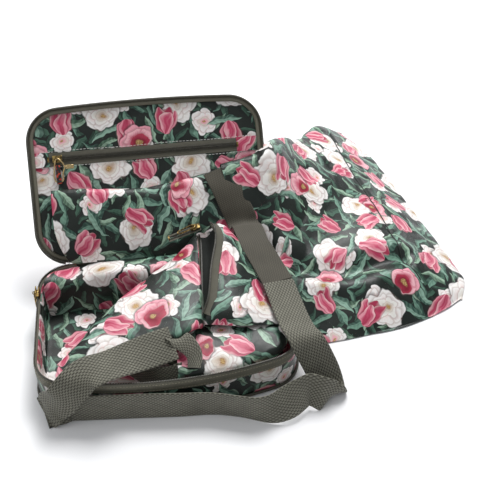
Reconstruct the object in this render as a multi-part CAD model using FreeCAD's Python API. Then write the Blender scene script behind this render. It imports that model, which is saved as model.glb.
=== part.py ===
"""Foldaway travel holdall, half pulled out of the zip-round case that it packs into.

The case is a soft tray and a soft lid joined by a cloth hinge.  A flat pocket is zipped
into the lid.  The holdall's cloth lies over the lid, in the tray and on the floor to the
right of it, and its long webbing handle runs down the lid, over the tray and round the front.

Millimetres, +Z up, front towards -Y.  The origin is the middle of the tray's underside.
"""
import FreeCAD, Part
import math
import os

# ---------------------------------------------------------------- driving sizes
CASE_WIDTH = 290.0
CASE_DEPTH = 190.0
CORNER_RADIUS = 40.0
FRONT_BOW = 13.0            # the tray's front wall bellies out this far
LID_BOW = 3.0               # the lid's far edge is nearly straight
LID_LEAN = 50.0             # degrees that the open lid stands up from level

SKIN = 1.2                  # coated outer cloth
LINING = 1.0
BOARD = 2.0                 # stiffener in base and lid
FOAM = 1.8
WALL_HEIGHT = 34.0          # outer cloth wall, up to the zip tape
PIPING_RADIUS = 1.6

RIM_TAPE_HEIGHT = 12.5      # zip tape that shows above the wall
RIM_COIL = 2.0              # height of each coil of the round zip
RIM_COIL_WIDTH = 1.8
HINGE_WIDTH = 200.0         # cloth hinge between the two ends of the round zip
HINGE_GAP = 1.5             # from the tray's back wall to the hinge line

LID_HEIGHT = 14.0           # rim plane to outer skin
LID_TAPE_EDGE = 1.5         # the lid's tape ends this far under the rim plane

TAPE = 0.6                  # flat zips: tape thickness
TAPE_HALF_WIDTH = 8.0
SLIT = 1.2                  # half the gap between the two coils
COIL_WIDTH = 2.0
COIL_HEIGHT = 1.4
STOP_LENGTH = 2.0
SLIDER_LENGTH = 12.0
SLIDER_HALF_WIDTH = 4.5
SLIDER_PLATE = 1.2
SLIDER_GAP = 0.4            # clearance between slider and zip
POST_HALF_WIDTH = 0.8
PULL_WIRE = 0.8             # radius
POCKET_PULL_TILT = 6.5      # degrees that a pull leans to rest on the cloth or the zip
MOUTH_PULL_TILT = 3.5

POCKET_ZIP_HEIGHT = 128.0   # from the hinge line, up the lid
POCKET_ZIP_LEFT = -123.0
POCKET_ZIP_RIGHT = 114.0
POCKET_SLIDER_X = -111.0

WEBBING_WIDTH = 38.0
WEBBING = 1.8
CLOTH = 3.0                 # one loose layer of cloth with its folds

# ---------------------------------------------------------------- worked-out levels
SPREAD_X = CASE_WIDTH / 290.0           # loose cloth follows the case when its size changes
SPREAD_Y = CASE_DEPTH / 190.0
SPREAD_UP = POCKET_ZIP_HEIGHT / 128.0   # cloth on the lid stays below the pocket zip
WEBBING_GROWTH = WEBBING_WIDTH / 2 - 19.0
CORNER_X = CASE_WIDTH / 2 - CORNER_RADIUS
CORNER_Y = CASE_DEPTH / 2 - CORNER_RADIUS

BOARD_LOW = SKIN
BOARD_TOP = BOARD_LOW + BOARD
LINING_TOP = BOARD_TOP + LINING
FOAM_INSET = SKIN
LINING_INSET = SKIN + FOAM
TAPE_TOP = WALL_HEIGHT + RIM_TAPE_HEIGHT
RIM_TOP = TAPE_TOP + RIM_COIL
HINGE_Y = CASE_DEPTH / 2 + HINGE_GAP
HINGE_Z = RIM_TOP - 0.5
RISE = RIM_TOP - 48.5                   # loose cloth is laid out on a rim 48.5 high

BOARD_INSET = 5.0
WALL_LINING_TOP = TAPE_TOP - 4.5
LID_SKIN_TOP = SKIN - LID_HEIGHT
LID_BOARD_TOP = LID_SKIN_TOP + BOARD
LID_FOAM_TOP = LID_BOARD_TOP + 1.2
POCKET_BACK_TOP = LID_FOAM_TOP + 0.6
LID_LINING_LOW = POCKET_BACK_TOP + SLIDER_GAP + SLIDER_PLATE + 0.1
LID_LINING_TOP = LID_LINING_LOW + LINING
LINING_SLIT = SLIDER_HALF_WIDTH + 0.5
COIL_OUTER = SLIT + COIL_WIDTH
ZIP_TOP = TAPE + COIL_HEIGHT            # flat zip, above its tape's underside

os.makedirs("parts", exist_ok=True)


# ---------------------------------------------------------------- helpers
def point(x, y, z):
    """Vector with a shorter name."""
    return FreeCAD.Vector(x, y, z)


def save(name, *solids):
    """Write one node; several solids share it as a group."""
    shape = solids[0] if len(solids) == 1 else Part.makeCompound(list(solids))
    if not shape.isValid():
        raise ValueError(name + " is not a valid solid")
    shape.exportStep("parts/" + name + ".step")


def box(x, y, z):
    """Block from three (low, high) pairs."""
    return Part.makeBox(x[1] - x[0], y[1] - y[0], z[1] - z[0], point(x[0], y[0], z[0]))


def bow_lean(bow):
    """Unit direction, seen from a corner's centre, in which the bowed side touches the corner."""
    if bow == 0:
        return 0.0, 1.0
    span = (CORNER_X ** 2 + bow ** 2) / (2 * bow)
    return CORNER_X / span, (span - bow) / span


def outline(inset, level, front_bow, back_bow):
    """Closed wire of the case: four round corners, with front and back bowed outwards."""
    radius = CORNER_RADIUS - inset
    corners = []
    for side_x, side_y, bow in ((1, -1, front_bow), (1, 1, back_bow), (-1, 1, back_bow), (-1, -1, front_bow)):
        lean_x, lean_y = bow_lean(bow)
        length = math.hypot(lean_x + 1, lean_y)
        directions = [(lean_x, lean_y), ((lean_x + 1) / length, lean_y / length), (1.0, 0.0)]
        if side_x == side_y:
            directions.reverse()
        corners.append([
            point(side_x * (CORNER_X + radius * x), side_y * (CORNER_Y + radius * y), level)
            for x, y in directions
        ])
    bows = {1: back_bow, 3: front_bow}
    edges = []
    for index, corner in enumerate(corners):
        following = corners[(index + 1) % 4]
        edges.append(Part.Arc(*corner).toShape())
        bow = bows.get(index, 0)
        if bow == 0:
            edges.append(Part.LineSegment(corner[2], following[0]).toShape())
            continue
        side = 1 if index == 1 else -1
        middle = point(0, side * (CASE_DEPTH / 2 + bow - inset), level)
        edges.append(Part.Arc(corner[2], middle, following[0]).toShape())
    return Part.Wire(edges)


def plate(inset, low, high, front_bow=FRONT_BOW, back_bow=0.0):
    """Flat panel with the case's outline."""
    face = Part.Face(outline(inset, low, front_bow, back_bow))
    return face.extrude(point(0, 0, high - low))


def ring(outer_inset, inner_inset, low, high, front_bow=FRONT_BOW, back_bow=0.0):
    """Wall that follows the case's outline."""
    outer = plate(outer_inset, low, high, front_bow, back_bow)
    return outer.cut(plate(inner_inset, low, high, front_bow, back_bow))


def piping(level, front_bow, back_bow):
    """Round cord just outside the outline."""
    path = outline(-PIPING_RADIUS - 0.1, level, front_bow, back_bow)
    start = point(CASE_WIDTH / 2 + PIPING_RADIUS + 0.1, -CORNER_Y, level)
    profile = Part.Wire(Part.makeCircle(PIPING_RADIUS, start, point(0, 1, 0)))
    path = Part.Wire(Part.sortEdges(path.Edges[1:] + path.Edges[:1])[0])
    return path.makePipeShell([profile], True, True)


def triangle(a, b, c):
    """Flat triangular face, or None where its corners are in line."""
    if (b - a).cross(c - a).Length < 1e-6:
        return None
    return Part.Face(Part.makePolygon([a, b, c, a]))


def quilt(top, bottom):
    """Closed solid between two grids of points that have the same rows and columns."""
    rows = len(top)
    columns = len(top[0])
    patches = []
    for row in range(rows - 1):
        for column in range(columns - 1):
            for grid in (top, bottom):
                patches.append((grid[row][column], grid[row][column + 1],
                                grid[row + 1][column + 1], grid[row + 1][column]))
    border = [(0, column) for column in range(columns)]
    border += [(row, columns - 1) for row in range(1, rows)]
    border += [(rows - 1, column) for column in range(columns - 2, -1, -1)]
    border += [(row, 0) for row in range(rows - 2, 0, -1)]
    for index, (row, column) in enumerate(border):
        next_row, next_column = border[(index + 1) % len(border)]
        patches.append((top[row][column], bottom[row][column],
                        bottom[next_row][next_column], top[next_row][next_column]))
    faces = []
    for a, b, c, d in patches:
        faces += [face for face in (triangle(a, b, c), triangle(a, c, d)) if face]
    shell = Part.Shell(faces)
    solid = Part.Solid(shell)
    if solid.Volume < 0:
        solid.reverse()
    return solid


def on_case(x, y, z):
    """Point of loose cloth, laid out on a case 290 wide and 190 deep."""
    lift = RISE if z > 40 else 0.0
    return point(x * SPREAD_X, y * SPREAD_Y, z + lift)


def cloth(rows, place=on_case, drop=(0, 0, -CLOTH)):
    """Sheet of cloth through the points of the rows, with its thickness below them."""
    top = [[place(*spot) for spot in row] for row in rows]
    bottom = [[spot + point(*drop) for spot in row] for row in top]
    return quilt(top, bottom)


def heap(rows, floor):
    """Heap of cloth under the points of the rows, down to a level floor."""
    top = [[on_case(*spot) for spot in row] for row in rows]
    bottom = [[point(spot.x, spot.y, floor) for spot in row] for row in top]
    return quilt(top, bottom)


def ribbon(sections, place=on_case, lift=0.0, rise=0.0):
    """Webbing through sections, each a centre and the direction across the webbing."""
    centres = [place(*centre) + point(0, 0, rise) for centre, _ in sections]
    top = []
    bottom = []
    for index, (_, across) in enumerate(sections):
        before = centres[max(index - 1, 0)]
        after = centres[min(index + 1, len(centres) - 1)]
        side = point(*across)
        side.normalize()
        normal = side.cross(after - before)
        normal.normalize()
        edges = [centres[index] - side * (WEBBING_WIDTH / 2), centres[index] + side * (WEBBING_WIDTH / 2)]
        top.append([edge + normal * (lift + WEBBING) for edge in edges])
        bottom.append([edge + normal * lift for edge in edges])
    return quilt(top, bottom)


def loop(points, radius):
    """Closed loop of round wire through the points."""
    shape = Part.makeSphere(radius, points[0])
    for index, start in enumerate(points):
        end = points[(index + 1) % len(points)]
        rod = Part.makeCylinder(radius, (end - start).Length, start, end - start)
        shape = shape.fuse([rod, Part.makeSphere(radius, end)])
    return shape.Solids[0]


def lean_back(shape):
    """Take a shape from the lid's own frame (x, up the lid, towards the inside) to its place."""
    placed = shape.copy()
    placed.rotate(point(0, 0, 0), point(1, 0, 0), LID_LEAN)
    placed.translate(point(0, HINGE_Y, HINGE_Z))
    return placed


def on_lid(x, up, out):
    """Point of loose cloth on the lid."""
    angle = math.radians(LID_LEAN)
    up *= SPREAD_UP
    y = HINGE_Y + up * math.cos(angle) - out * math.sin(angle)
    z = HINGE_Z + up * math.sin(angle) + out * math.cos(angle)
    return point(x * SPREAD_X, y, z)


def lid_plate(inset, low, high):
    """Panel of the lid, in the lid's frame, with its hinge side on x."""
    panel = plate(inset, low, high, 0.0, LID_BOW)
    panel.translate(point(0, CASE_DEPTH / 2, 0))
    return panel


def lid_ring(outer_inset, inner_inset, low, high):
    """Wall of the lid, in the lid's frame."""
    return lid_plate(outer_inset, low, high).cut(lid_plate(inner_inset, low, high))


def zip_half(length, side, low, high, inner, outer):
    """One strip beside a flat zip's middle line, on one side of it."""
    span = sorted((side * inner, side * outer))
    return box((0, length), span, (low, high))


def zip_stop():
    """Metal stop across both coils."""
    return box((0, STOP_LENGTH), (-COIL_OUTER, COIL_OUTER), (TAPE, ZIP_TOP + 0.2))


def slider(bail_along_zip):
    """Flat zip's slider, centred on x, with a bail that holds the pull's bar."""
    half = SLIDER_LENGTH / 2
    low = -SLIDER_GAP - SLIDER_PLATE
    roof = ZIP_TOP + SLIDER_GAP
    wide = (-SLIDER_HALF_WIDTH, SLIDER_HALF_WIDTH)
    under = box((-half, half), wide, (low, -SLIDER_GAP))
    over = box((-half, half), wide, (roof, roof + SLIDER_PLATE))
    post = box((half - 4, half - 1), (-POST_HALF_WIDTH, POST_HALF_WIDTH), (-SLIDER_GAP, roof))
    bail = box((-1.5, 1.5), (-3, 3), (roof + SLIDER_PLATE, roof + SLIDER_PLATE + 3.6))
    hole = box((-2, 2), (-1.7, 1.7), (roof + SLIDER_PLATE, roof + SLIDER_PLATE + 2.6))
    bail = bail.cut(hole)
    if not bail_along_zip:
        bail.rotate(point(0, 0, 0), point(0, 0, 1), 90)
    return under.fuse([over, post, bail]).removeSplitter()


PULL_HEIGHT = ZIP_TOP + SLIDER_GAP + SLIDER_PLATE + 1.3     # bar's middle, above the tape's underside


def place_on(shape, origin, along, up):
    """Place a shape from a flat zip's frame: x runs along the zip, z away from the tape."""
    placed = shape.copy()
    across = up.cross(along)
    frame = FreeCAD.Placement(origin, FreeCAD.Rotation(along, across, up, "XZY"))
    placed.Placement = frame.multiply(placed.Placement)
    return placed


# ---------------------------------------------------------------- tray
def build_tray():
    """Tray: cloth, board, foam and lining, with half of the round zip on its rim."""
    save("tray_base_skin", plate(0, 0, SKIN))
    save("tray_base_board", plate(LINING_INSET + 0.4, BOARD_LOW, BOARD_TOP))
    save("tray_base_lining", plate(LINING_INSET, BOARD_TOP, LINING_TOP))
    save("tray_wall_skin", ring(0, SKIN, SKIN, WALL_HEIGHT))
    save("tray_wall_foam", ring(FOAM_INSET, LINING_INSET, SKIN, WALL_HEIGHT))
    save("tray_wall_lining", ring(LINING_INSET, LINING_INSET + LINING, LINING_TOP, WALL_LINING_TOP))
    save("tray_base_piping", piping(PIPING_RADIUS + 0.2, FRONT_BOW, 0.0))

    half = HINGE_WIDTH / 2
    back = (CASE_DEPTH / 2 - 10, CASE_DEPTH / 2 + 10)
    tape = ring(0, SKIN, WALL_HEIGHT, TAPE_TOP)
    hinge_zone = box((-half, half), back, (WALL_HEIGHT, TAPE_TOP))
    save("tray_zip_tape", tape.cut(hinge_zone))
    save("tray_hinge_panel", tape.common(hinge_zone))

    coil = ring(0, RIM_COIL_WIDTH, TAPE_TOP, RIM_TOP)
    gap = half + STOP_LENGTH
    save("tray_zip_coil", coil.cut(box((-gap, gap), back, (TAPE_TOP, RIM_TOP))))
    stops = [box(sorted((side * half, side * gap)), back, (TAPE_TOP, RIM_TOP)) for side in (-1, 1)]
    save("tray_zip_stops", *[coil.common(stop) for stop in stops])


def build_round_slider():
    """Slider of the round zip, parked on the tray's left rim, with the pull that hangs from it."""
    park = CORNER_Y - SLIDER_LENGTH / 2 - 3
    ends = (park - SLIDER_LENGTH / 2, park + SLIDER_LENGTH / 2)
    face = -CASE_WIDTH / 2
    outside = (face - SLIDER_GAP - SLIDER_PLATE, face - SLIDER_GAP)
    inside_low = face + RIM_COIL_WIDTH + SLIDER_GAP
    inside = (inside_low, inside_low + SLIDER_PLATE)
    height = (WALL_LINING_TOP + 0.6, RIM_TOP + 7.5)
    web = (RIM_TOP + SLIDER_GAP, RIM_TOP + SLIDER_GAP + SLIDER_PLATE)
    bail_mid = RIM_TOP + 1.5
    bail = box((outside[0] - 3.6, outside[0]), (park - 1.5, park + 1.5), (bail_mid - 3, bail_mid + 3))
    hole = box((outside[0] - 2.6, outside[0]), (park - 2, park + 2), (bail_mid - 1.7, bail_mid + 1.7))
    plates = box(outside, ends, height)
    body = plates.fuse([box(inside, ends, height), box((outside[0], inside[1]), ends, web), bail.cut(hole)])
    save("round_zip_slider", body.removeSplitter())

    bar_x = outside[0] - 1.3
    loop_points = [point(bar_x, park + y, bail_mid + z) for y, z in ((-3, 0), (3, 0), (5, -8), (4, -24), (-4, -24), (-5, -8))]
    save("round_zip_pull", loop(loop_points, PULL_WIRE))


# ---------------------------------------------------------------- lid
def build_lid():
    """Lid: cloth, board, foam, pocket and lining, with the other half of the round zip."""
    save("lid_skin", lean_back(lid_plate(0, -LID_HEIGHT, LID_SKIN_TOP)))
    save("lid_board", lean_back(lid_plate(BOARD_INSET, LID_SKIN_TOP, LID_BOARD_TOP)))
    save("lid_foam", lean_back(lid_plate(BOARD_INSET, LID_BOARD_TOP, LID_FOAM_TOP)))
    save("lid_pocket_back", lean_back(lid_plate(BOARD_INSET, LID_FOAM_TOP, POCKET_BACK_TOP)))

    lining = lid_plate(SKIN + 0.2, LID_LINING_LOW, LID_LINING_TOP)
    wide = (-CASE_WIDTH, CASE_WIDTH)
    level = (LID_LINING_LOW, LID_LINING_TOP)
    above = box(wide, (POCKET_ZIP_HEIGHT + LINING_SLIT, CASE_DEPTH * 2), level)
    below = box(wide, (-CASE_DEPTH, POCKET_ZIP_HEIGHT - LINING_SLIT), level)
    save("lid_lining_upper", lean_back(lining.common(above)))
    save("lid_lining_lower", lean_back(lining.common(below)))

    half = HINGE_WIDTH / 2
    gap = half + STOP_LENGTH
    near = (-10, 10)
    tape = lid_ring(0, SKIN, LID_SKIN_TOP, -LID_TAPE_EDGE)
    hinge_zone = box((-half, half), near, (LID_SKIN_TOP, -LID_TAPE_EDGE))
    save("lid_zip_tape", lean_back(tape.cut(hinge_zone)))
    save("lid_hinge_panel", lean_back(tape.common(hinge_zone)))
    level = (-LID_TAPE_EDGE, RIM_COIL - LID_TAPE_EDGE)
    coil = lid_ring(0, RIM_COIL_WIDTH, *level)
    save("lid_zip_coil", lean_back(coil.cut(box((-gap, gap), near, level))))
    stops = [box(sorted((side * half, side * gap)), near, level) for side in (-1, 1)]
    save("lid_zip_stops", *[lean_back(coil.common(stop)) for stop in stops])

    cord = piping(PIPING_RADIUS - LID_HEIGHT, 0.0, LID_BOW)
    cord.translate(point(0, CASE_DEPTH / 2, 0))
    cord = cord.cut(box(wide, (-CASE_DEPTH, 12), (-CASE_DEPTH, CASE_DEPTH)))
    save("lid_edge_piping", lean_back(cord.Solids[0]))


def build_pocket_zip():
    """Flat zip across the lid's lining, with its slider and the wire pull that hangs from it."""
    length = POCKET_ZIP_RIGHT - POCKET_ZIP_LEFT
    start = point(POCKET_ZIP_LEFT, POCKET_ZIP_HEIGHT, LID_LINING_TOP)
    for name, side in (("upper", 1), ("lower", -1)):
        tape = zip_half(length, side, 0, TAPE, SLIT, TAPE_HALF_WIDTH)
        tape.translate(start)
        save("pocket_zip_tape_" + name, lean_back(tape))
        coil = zip_half(length - 2 * STOP_LENGTH, side, TAPE, ZIP_TOP, SLIT, COIL_OUTER)
        coil.translate(start + point(STOP_LENGTH, 0, 0))
        save("pocket_zip_coil_" + name, lean_back(coil))
    stops = []
    for offset in (0, length - STOP_LENGTH):
        stop = zip_stop()
        stop.translate(start + point(offset, 0, 0))
        stops.append(lean_back(stop))
    save("pocket_zip_stops", *stops)

    seat = point(POCKET_SLIDER_X, POCKET_ZIP_HEIGHT, LID_LINING_TOP)
    body = slider(bail_along_zip=True)
    body.translate(seat)
    save("pocket_zip_slider", lean_back(body))

    bar = seat + point(0, 0, PULL_HEIGHT)
    corners = ((-3, 0), (3, 0), (9, -10), (4.5, -19), (6, -28), (-7, -29))
    wire = loop([bar + point(x, up, 0) for x, up in corners], PULL_WIRE)
    wire.rotate(bar, point(1, 0, 0), POCKET_PULL_TILT)
    save("pocket_pull_loop", lean_back(wire))
    tab = box((9 + PULL_WIRE, 19), (-13, -8), (-0.5, 0.5))
    tab.translate(bar)
    tab.rotate(bar, point(1, 0, 0), POCKET_PULL_TILT)
    save("pocket_pull_tab", lean_back(tab))
    tag = box((-3, 2.8), (-26.5, -8), (-0.6, 0.6)).fuse(box((-3, 2.8), (-31, -26.5), (-1, 1)))
    tag.translate(bar)
    tag.rotate(bar, point(1, 0, 0), POCKET_PULL_TILT)
    save("pocket_pull_tag", lean_back(tag))


# ---------------------------------------------------------------- holdall cloth
def build_lid_drape():
    """Holdall cloth that lies over the lower part of the lid."""
    columns = ((-112, 92), (-70, 87), (-26, 83), (24, 86), (68, 94), (104, 100), (140, 104))
    rows = []
    bottom = []
    floor = LID_LINING_TOP + 0.5
    for share, out, spread in ((1.0, floor + 2, 1.0), (0.9, 5, 1.0), (0.65, 10, 1.0), (0.35, 11, 0.98), (0.05, 8, 0.8)):
        rows.append([on_lid(x * spread, top * share, out) for x, top in columns])
        bottom.append([on_lid(x * spread, top * share, floor) for x, top in columns])
    save("holdall_lid_drape", quilt(rows, bottom))


def build_heap():
    """Holdall cloth that lies in the tray."""
    save("holdall_left_panel", cloth((
        ((-117, -70, 51), (-112, -76, 51)),
        ((-93, -42, 54), (-80, -70, 54)),
        ((-70, -12, 58), (-45, -66, 59)),
        ((-31, 24, 64), (-5, -62, 66)),
        ((4, 44, 72), (30, -53, 70)),
        ((35, 62, 82), (43, -38, 69)),
        ((51, 74, 89), (50, 20, 80)),
    )))
    save("holdall_end_panel", cloth((
        ((71, 78, 101), (82, 76, 96)),
        ((72, 52, 92), (98, 62, 79)),
        ((62, 20, 84), (110, 28, 69)),
        ((54, -18, 74), (112, 4, 62)),
        ((46, -38, 68), (116, -34, 56)),
    )))
    save("holdall_bottom_panel", cloth((
        ((8, -99, 46), (50, -96, 46), (95, -88, 46), (120, -79, 46)),
        ((8, -72, 51), (50, -70, 52), (95, -65, 51), (126, -60, 49)),
        ((8, -42, 50), (50, -40, 49), (95, -38, 48), (134, -36, 47)),
        ((8, -8, 44), (50, -5, 44), (95, -5, 44), (134, -5, 46)),
    )))
    save("holdall_back_roll", heap((
        ((-133, 46, 20), (-60, 46, 24), (0, 46, 24), (70, 46, 24), (134, 46, 26)),
        ((-136, 58, 48), (-60, 58, 52), (0, 58, 52), (70, 58, 52), (137, 52, 50)),
        ((-130, 72, 52), (-60, 72, 56), (0, 72, 56), (70, 72, 56), (132, 70, 54)),
        ((-120, 84, 38), (-60, 86, 42), (0, 86, 42), (70, 86, 42), (122, 84, 42)),
    ), LINING_TOP + 0.3))


def build_floor_cloth():
    """Holdall cloth that falls from the lid's right side and lies on the floor."""
    left = (
        (155, -32, 6), (155, -6, 26), (155, 22, 38), (153, 60, 46),
        (153, 112, 72), (153, 142, 106), (153, 172, 142), (162, 205, 130),
    )
    middle = (
        (195, -32, 2), (192, -2, 18), (200, 30, 36), (185, 64, 38),
        (190, 105, 58), (192, 140, 76), (196, 185, 92), (205, 240, 84),
    )
    rest = (
        ((235, -28, 2), (287, -21, 2), (340, -5, 2), (370, 12, 2)),
        ((235, 2, 24), (280, 10, 30), (326, 8, 18), (386, 28, 2)),
        ((245, 36, 38), (292, 42, 44), (338, 44, 24), (389, 42, 2)),
        ((225, 62, 42), (286, 80, 49), (337, 80, 26), (385, 70, 2)),
        ((232, 100, 50), (285, 112, 50), (334, 115, 26), (381, 102, 2)),
        ((235, 150, 60), (282, 165, 50), (330, 170, 26), (374, 155, 2)),
        ((234, 205, 72), (278, 225, 48), (325, 235, 24), (363, 225, 2)),
        ((236, 285, 62), (270, 310, 46), (312, 325, 22), (346, 335, 2)),
        ((238, 345, 46), (266, 372, 40), (294, 395, 18), (318, 402, 2)),
    )
    seam = middle + ((222, 292, 70),)
    save("holdall_floor_body", heap([(seam[index],) + rest[index] for index in range(len(rest))], 0.2))
    save("holdall_front_fold", heap([(left[index], middle[index]) for index in range(4)], 0.2))
    save("holdall_side_panel", cloth([(left[index], middle[index]) for index in range(3, 8)]))


# ---------------------------------------------------------------- handles
def build_handles():
    """Long webbing handle down the lid, over the tray and round the front, and the inner handle."""
    save("long_handle_upper", ribbon((
        ((83, 96, 6.5), (38, 3, 0)),
        ((92, 75, 12.5), (38, 3, 0)),
        ((101, 50, 14), (38, 0, 0)),
        ((108, 30, 14.5), (38, -3, 0)),
        ((111, 21, 14), (38, -4, 0)),
    ), on_lid))
    right_run = (
        ((113, 77, 85), (34, -4, -6)),
        ((116, 59, 80), (34, -6, -6)),
        ((126, 31, 74), (34, 0, -5)),
        ((134, 4, 69), (34, 5, -3)),
        ((138, -21, 64), (38, 7, -4)),
        ((142, -52, 61), (38, 4, -4)),
        ((149, -79, 58), (38, 0, -5)),
        ((162, -91, 32), (38, 3, -3)),
        ((170, -98, 11), (38, 4, 1)),
        ((170, -109, 3), (38, 3, 0)),
    )
    save("long_handle_right", ribbon(right_run, rise=WEBBING_GROWTH))
    save("handle_join_patch", ribbon(right_run[4:7], lift=WEBBING + 0.4, rise=WEBBING_GROWTH))
    stand = WEBBING_WIDTH / 2 + 1       # webbing on its edge
    save("long_handle_front", ribbon((
        ((145, -114, stand), (-8, 6, 33)),
        ((129, -124, stand), (-10, 12, 34)),
        ((108, -133, stand), (-8, 15, 32)),
        ((87, -131, stand), (-5, -3, 34)),
        ((67, -125, stand), (-2, -4, 36)),
        ((40, -119, stand), (0, -1, 37)),
        ((0, -116, stand), (0, 1, 37)),
        ((-60, -110, stand), (0, 2, 37)),
        ((-95, -105, stand), (-1, 2, 37)),
        ((-116, -101.5, stand), (-1, 1, 37)),
    )))
    save("long_handle_diagonal", ribbon((
        ((-136, -94, 8), (-17, 33, 8)),
        ((-130, -99, 20), (-18, 20, 25)),
        ((-117, -109, 34), (-10, 6, 35)),
        ((-104, -107, 52), (-9, 18, 30)),
        ((-88, -97, 60), (-8, 32, 14)),
        ((-65, -90, 61), (-8, 35, 5)),
        ((-38, -82, 63), (-4, 34, 12)),
        ((-11, -76, 63), (0, 30, 22)),
        ((10, -77, 66), (-6, 34, 10)),
        ((30, -84, 62), (6, 34, -8)),
    ), rise=2 * WEBBING_GROWTH))
    inner = LINING_TOP + WEBBING_WIDTH / 2 + 3
    save("inner_handle", ribbon((
        ((-36, -66, inner), (0, 2, 38)),
        ((-30, -76, inner), (0, 2, 38)),
        ((-20, -86, inner), (0, 1, 38)),
        ((-4, -94, inner), (0, 0, 38)),
    )))


def build_mouth_zip():
    """Closed end of the zip along the holdall's mouth, with its slider and pull."""
    top = on_case(53, 80, 98)
    low = on_case(14, 76, 87)
    along = low - top
    length = along.Length
    along.normalize()
    up = point(0, 1, 0).cross(along)
    up.normalize()
    for name, side in (("front", 1), ("back", -1)):
        tape = zip_half(length, side, 0, TAPE, SLIT, TAPE_HALF_WIDTH - 2)
        save("mouth_zip_tape_" + name, place_on(tape, top, along, up))
        coil = zip_half(length - STOP_LENGTH, side, TAPE, ZIP_TOP, SLIT, COIL_OUTER)
        save("mouth_zip_coil_" + name, place_on(coil, top, along, up))
    stop = zip_stop()
    stop.translate(point(length - STOP_LENGTH, 0, 0))
    save("mouth_zip_stop", place_on(stop, top, along, up))

    park = top + along * (SLIDER_LENGTH / 2)
    save("mouth_zip_slider", place_on(slider(bail_along_zip=False), park, along, up))
    corners = ((0, -3), (0, 3), (7, 3.6), (22, 2.8), (22, -2.8), (7, -3.6))
    wire = loop([point(x, y, PULL_HEIGHT) for x, y in corners], PULL_WIRE)
    wire.rotate(point(0, 0, PULL_HEIGHT), point(0, 1, 0), MOUTH_PULL_TILT)
    save("mouth_zip_pull", place_on(wire, park, along, up))


build_tray()
build_round_slider()
build_lid()
build_pocket_zip()
build_lid_drape()
build_heap()
build_floor_cloth()
build_handles()
build_mouth_zip()
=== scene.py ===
"""Foldaway travel holdall, half pulled out of the zip-round case that it packs into.

A soft tray and lid, zipped round and joined by a cloth hinge, hold the holdall's floral cloth and
its webbing handles.  Sizes named in the classes are millimetres; the meshes are in metres.
"""

import logging
import math
from collections.abc import Callable, Sequence
from dataclasses import dataclass
from enum import Enum

import bmesh
import bpy
import numpy as np
from mathutils import Matrix, Vector, noise

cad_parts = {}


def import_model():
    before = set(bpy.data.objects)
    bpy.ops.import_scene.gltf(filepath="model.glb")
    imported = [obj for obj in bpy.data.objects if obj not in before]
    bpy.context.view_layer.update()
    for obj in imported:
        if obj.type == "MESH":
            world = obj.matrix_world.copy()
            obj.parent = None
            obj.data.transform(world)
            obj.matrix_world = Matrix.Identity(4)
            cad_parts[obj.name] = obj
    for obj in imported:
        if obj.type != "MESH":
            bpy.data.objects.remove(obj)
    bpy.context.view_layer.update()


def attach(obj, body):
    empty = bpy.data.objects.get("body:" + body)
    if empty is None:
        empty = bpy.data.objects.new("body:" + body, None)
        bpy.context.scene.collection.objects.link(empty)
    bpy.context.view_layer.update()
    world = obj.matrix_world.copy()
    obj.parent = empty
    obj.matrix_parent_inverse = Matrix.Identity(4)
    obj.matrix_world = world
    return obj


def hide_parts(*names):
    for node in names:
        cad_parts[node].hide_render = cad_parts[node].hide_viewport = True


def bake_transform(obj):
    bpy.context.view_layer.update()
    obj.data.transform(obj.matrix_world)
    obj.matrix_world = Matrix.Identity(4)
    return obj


Colour = tuple[float, float, float]
Spot = tuple[float, float, float]
Section = tuple[Spot, Spot]
Outward = Callable[[np.ndarray], np.ndarray]

LOG = logging.getLogger("holdall")
MM = 0.001
HINGE: Spot = (0.0, 0.0965, 0.048)
LID_LEAN = math.radians(50.0)
LID_PLACE = Matrix.Translation(HINGE) @ Matrix.Rotation(LID_LEAN, 4, "X")
LEVEL = Matrix.Identity(4)


class Body(Enum):
    """Moving bodies of the frame."""

    CASE = "case"
    LID = "lid"
    ROUND_SLIDER = "round_slider"
    ROUND_PULL = "round_pull"
    POCKET_SLIDER = "pocket_slider"
    POCKET_PULL = "pocket_pull"
    MOUTH_SLIDER = "mouth_slider"
    MOUTH_PULL = "mouth_pull"


# ---------------------------------------------------------------- mesh helpers
def on_lid(x: float, up: float, out: float) -> Spot:
    """Place of a point given across, up and out from the lid, in millimetres."""
    y = HINGE[1] / MM + up * math.cos(LID_LEAN) - out * math.sin(LID_LEAN)
    z = HINGE[2] / MM + up * math.sin(LID_LEAN) + out * math.cos(LID_LEAN)
    return x, y, z


def smooth_run(points: np.ndarray, count: int) -> np.ndarray:
    """Smooth curve through rows of points.

    Args:
        points: Array whose first axis runs along the curve.
        count: Rows wanted.

    Returns:
        Array of that many rows on the curve, evenly spread between the given rows.
    """
    if len(points) == 2:
        share = np.linspace(0, 1, count).reshape((-1,) + (1,) * (points.ndim - 1))
        return points[0] * (1 - share) + points[1] * share
    padded = np.concatenate([[2 * points[0] - points[1]], points, [2 * points[-1] - points[-2]]])
    place = np.linspace(0, len(points) - 1, count)
    index = np.minimum(place.astype(int), len(points) - 2)
    t = (place - index).reshape((-1,) + (1,) * (points.ndim - 1))
    a, b, c, d = (padded[index + step] for step in range(4))
    return 0.5 * (2 * b + (c - a) * t + (2 * a - 5 * b + 4 * c - d) * t**2 + (3 * b - a - 3 * c + d) * t**3)


def run_length(points: np.ndarray) -> np.ndarray:
    """Distance along a line of points, from its first."""
    return np.concatenate([[0.0], np.cumsum(np.linalg.norm(np.diff(points, axis=0), axis=1))])


def grid(first: Sequence[float], second: Sequence[float], order: str = "ij") -> np.ndarray:
    """Flat layout in metres over two runs in millimetres."""
    return np.stack(np.meshgrid(first, second, indexing=order), axis=-1) * MM


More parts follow.
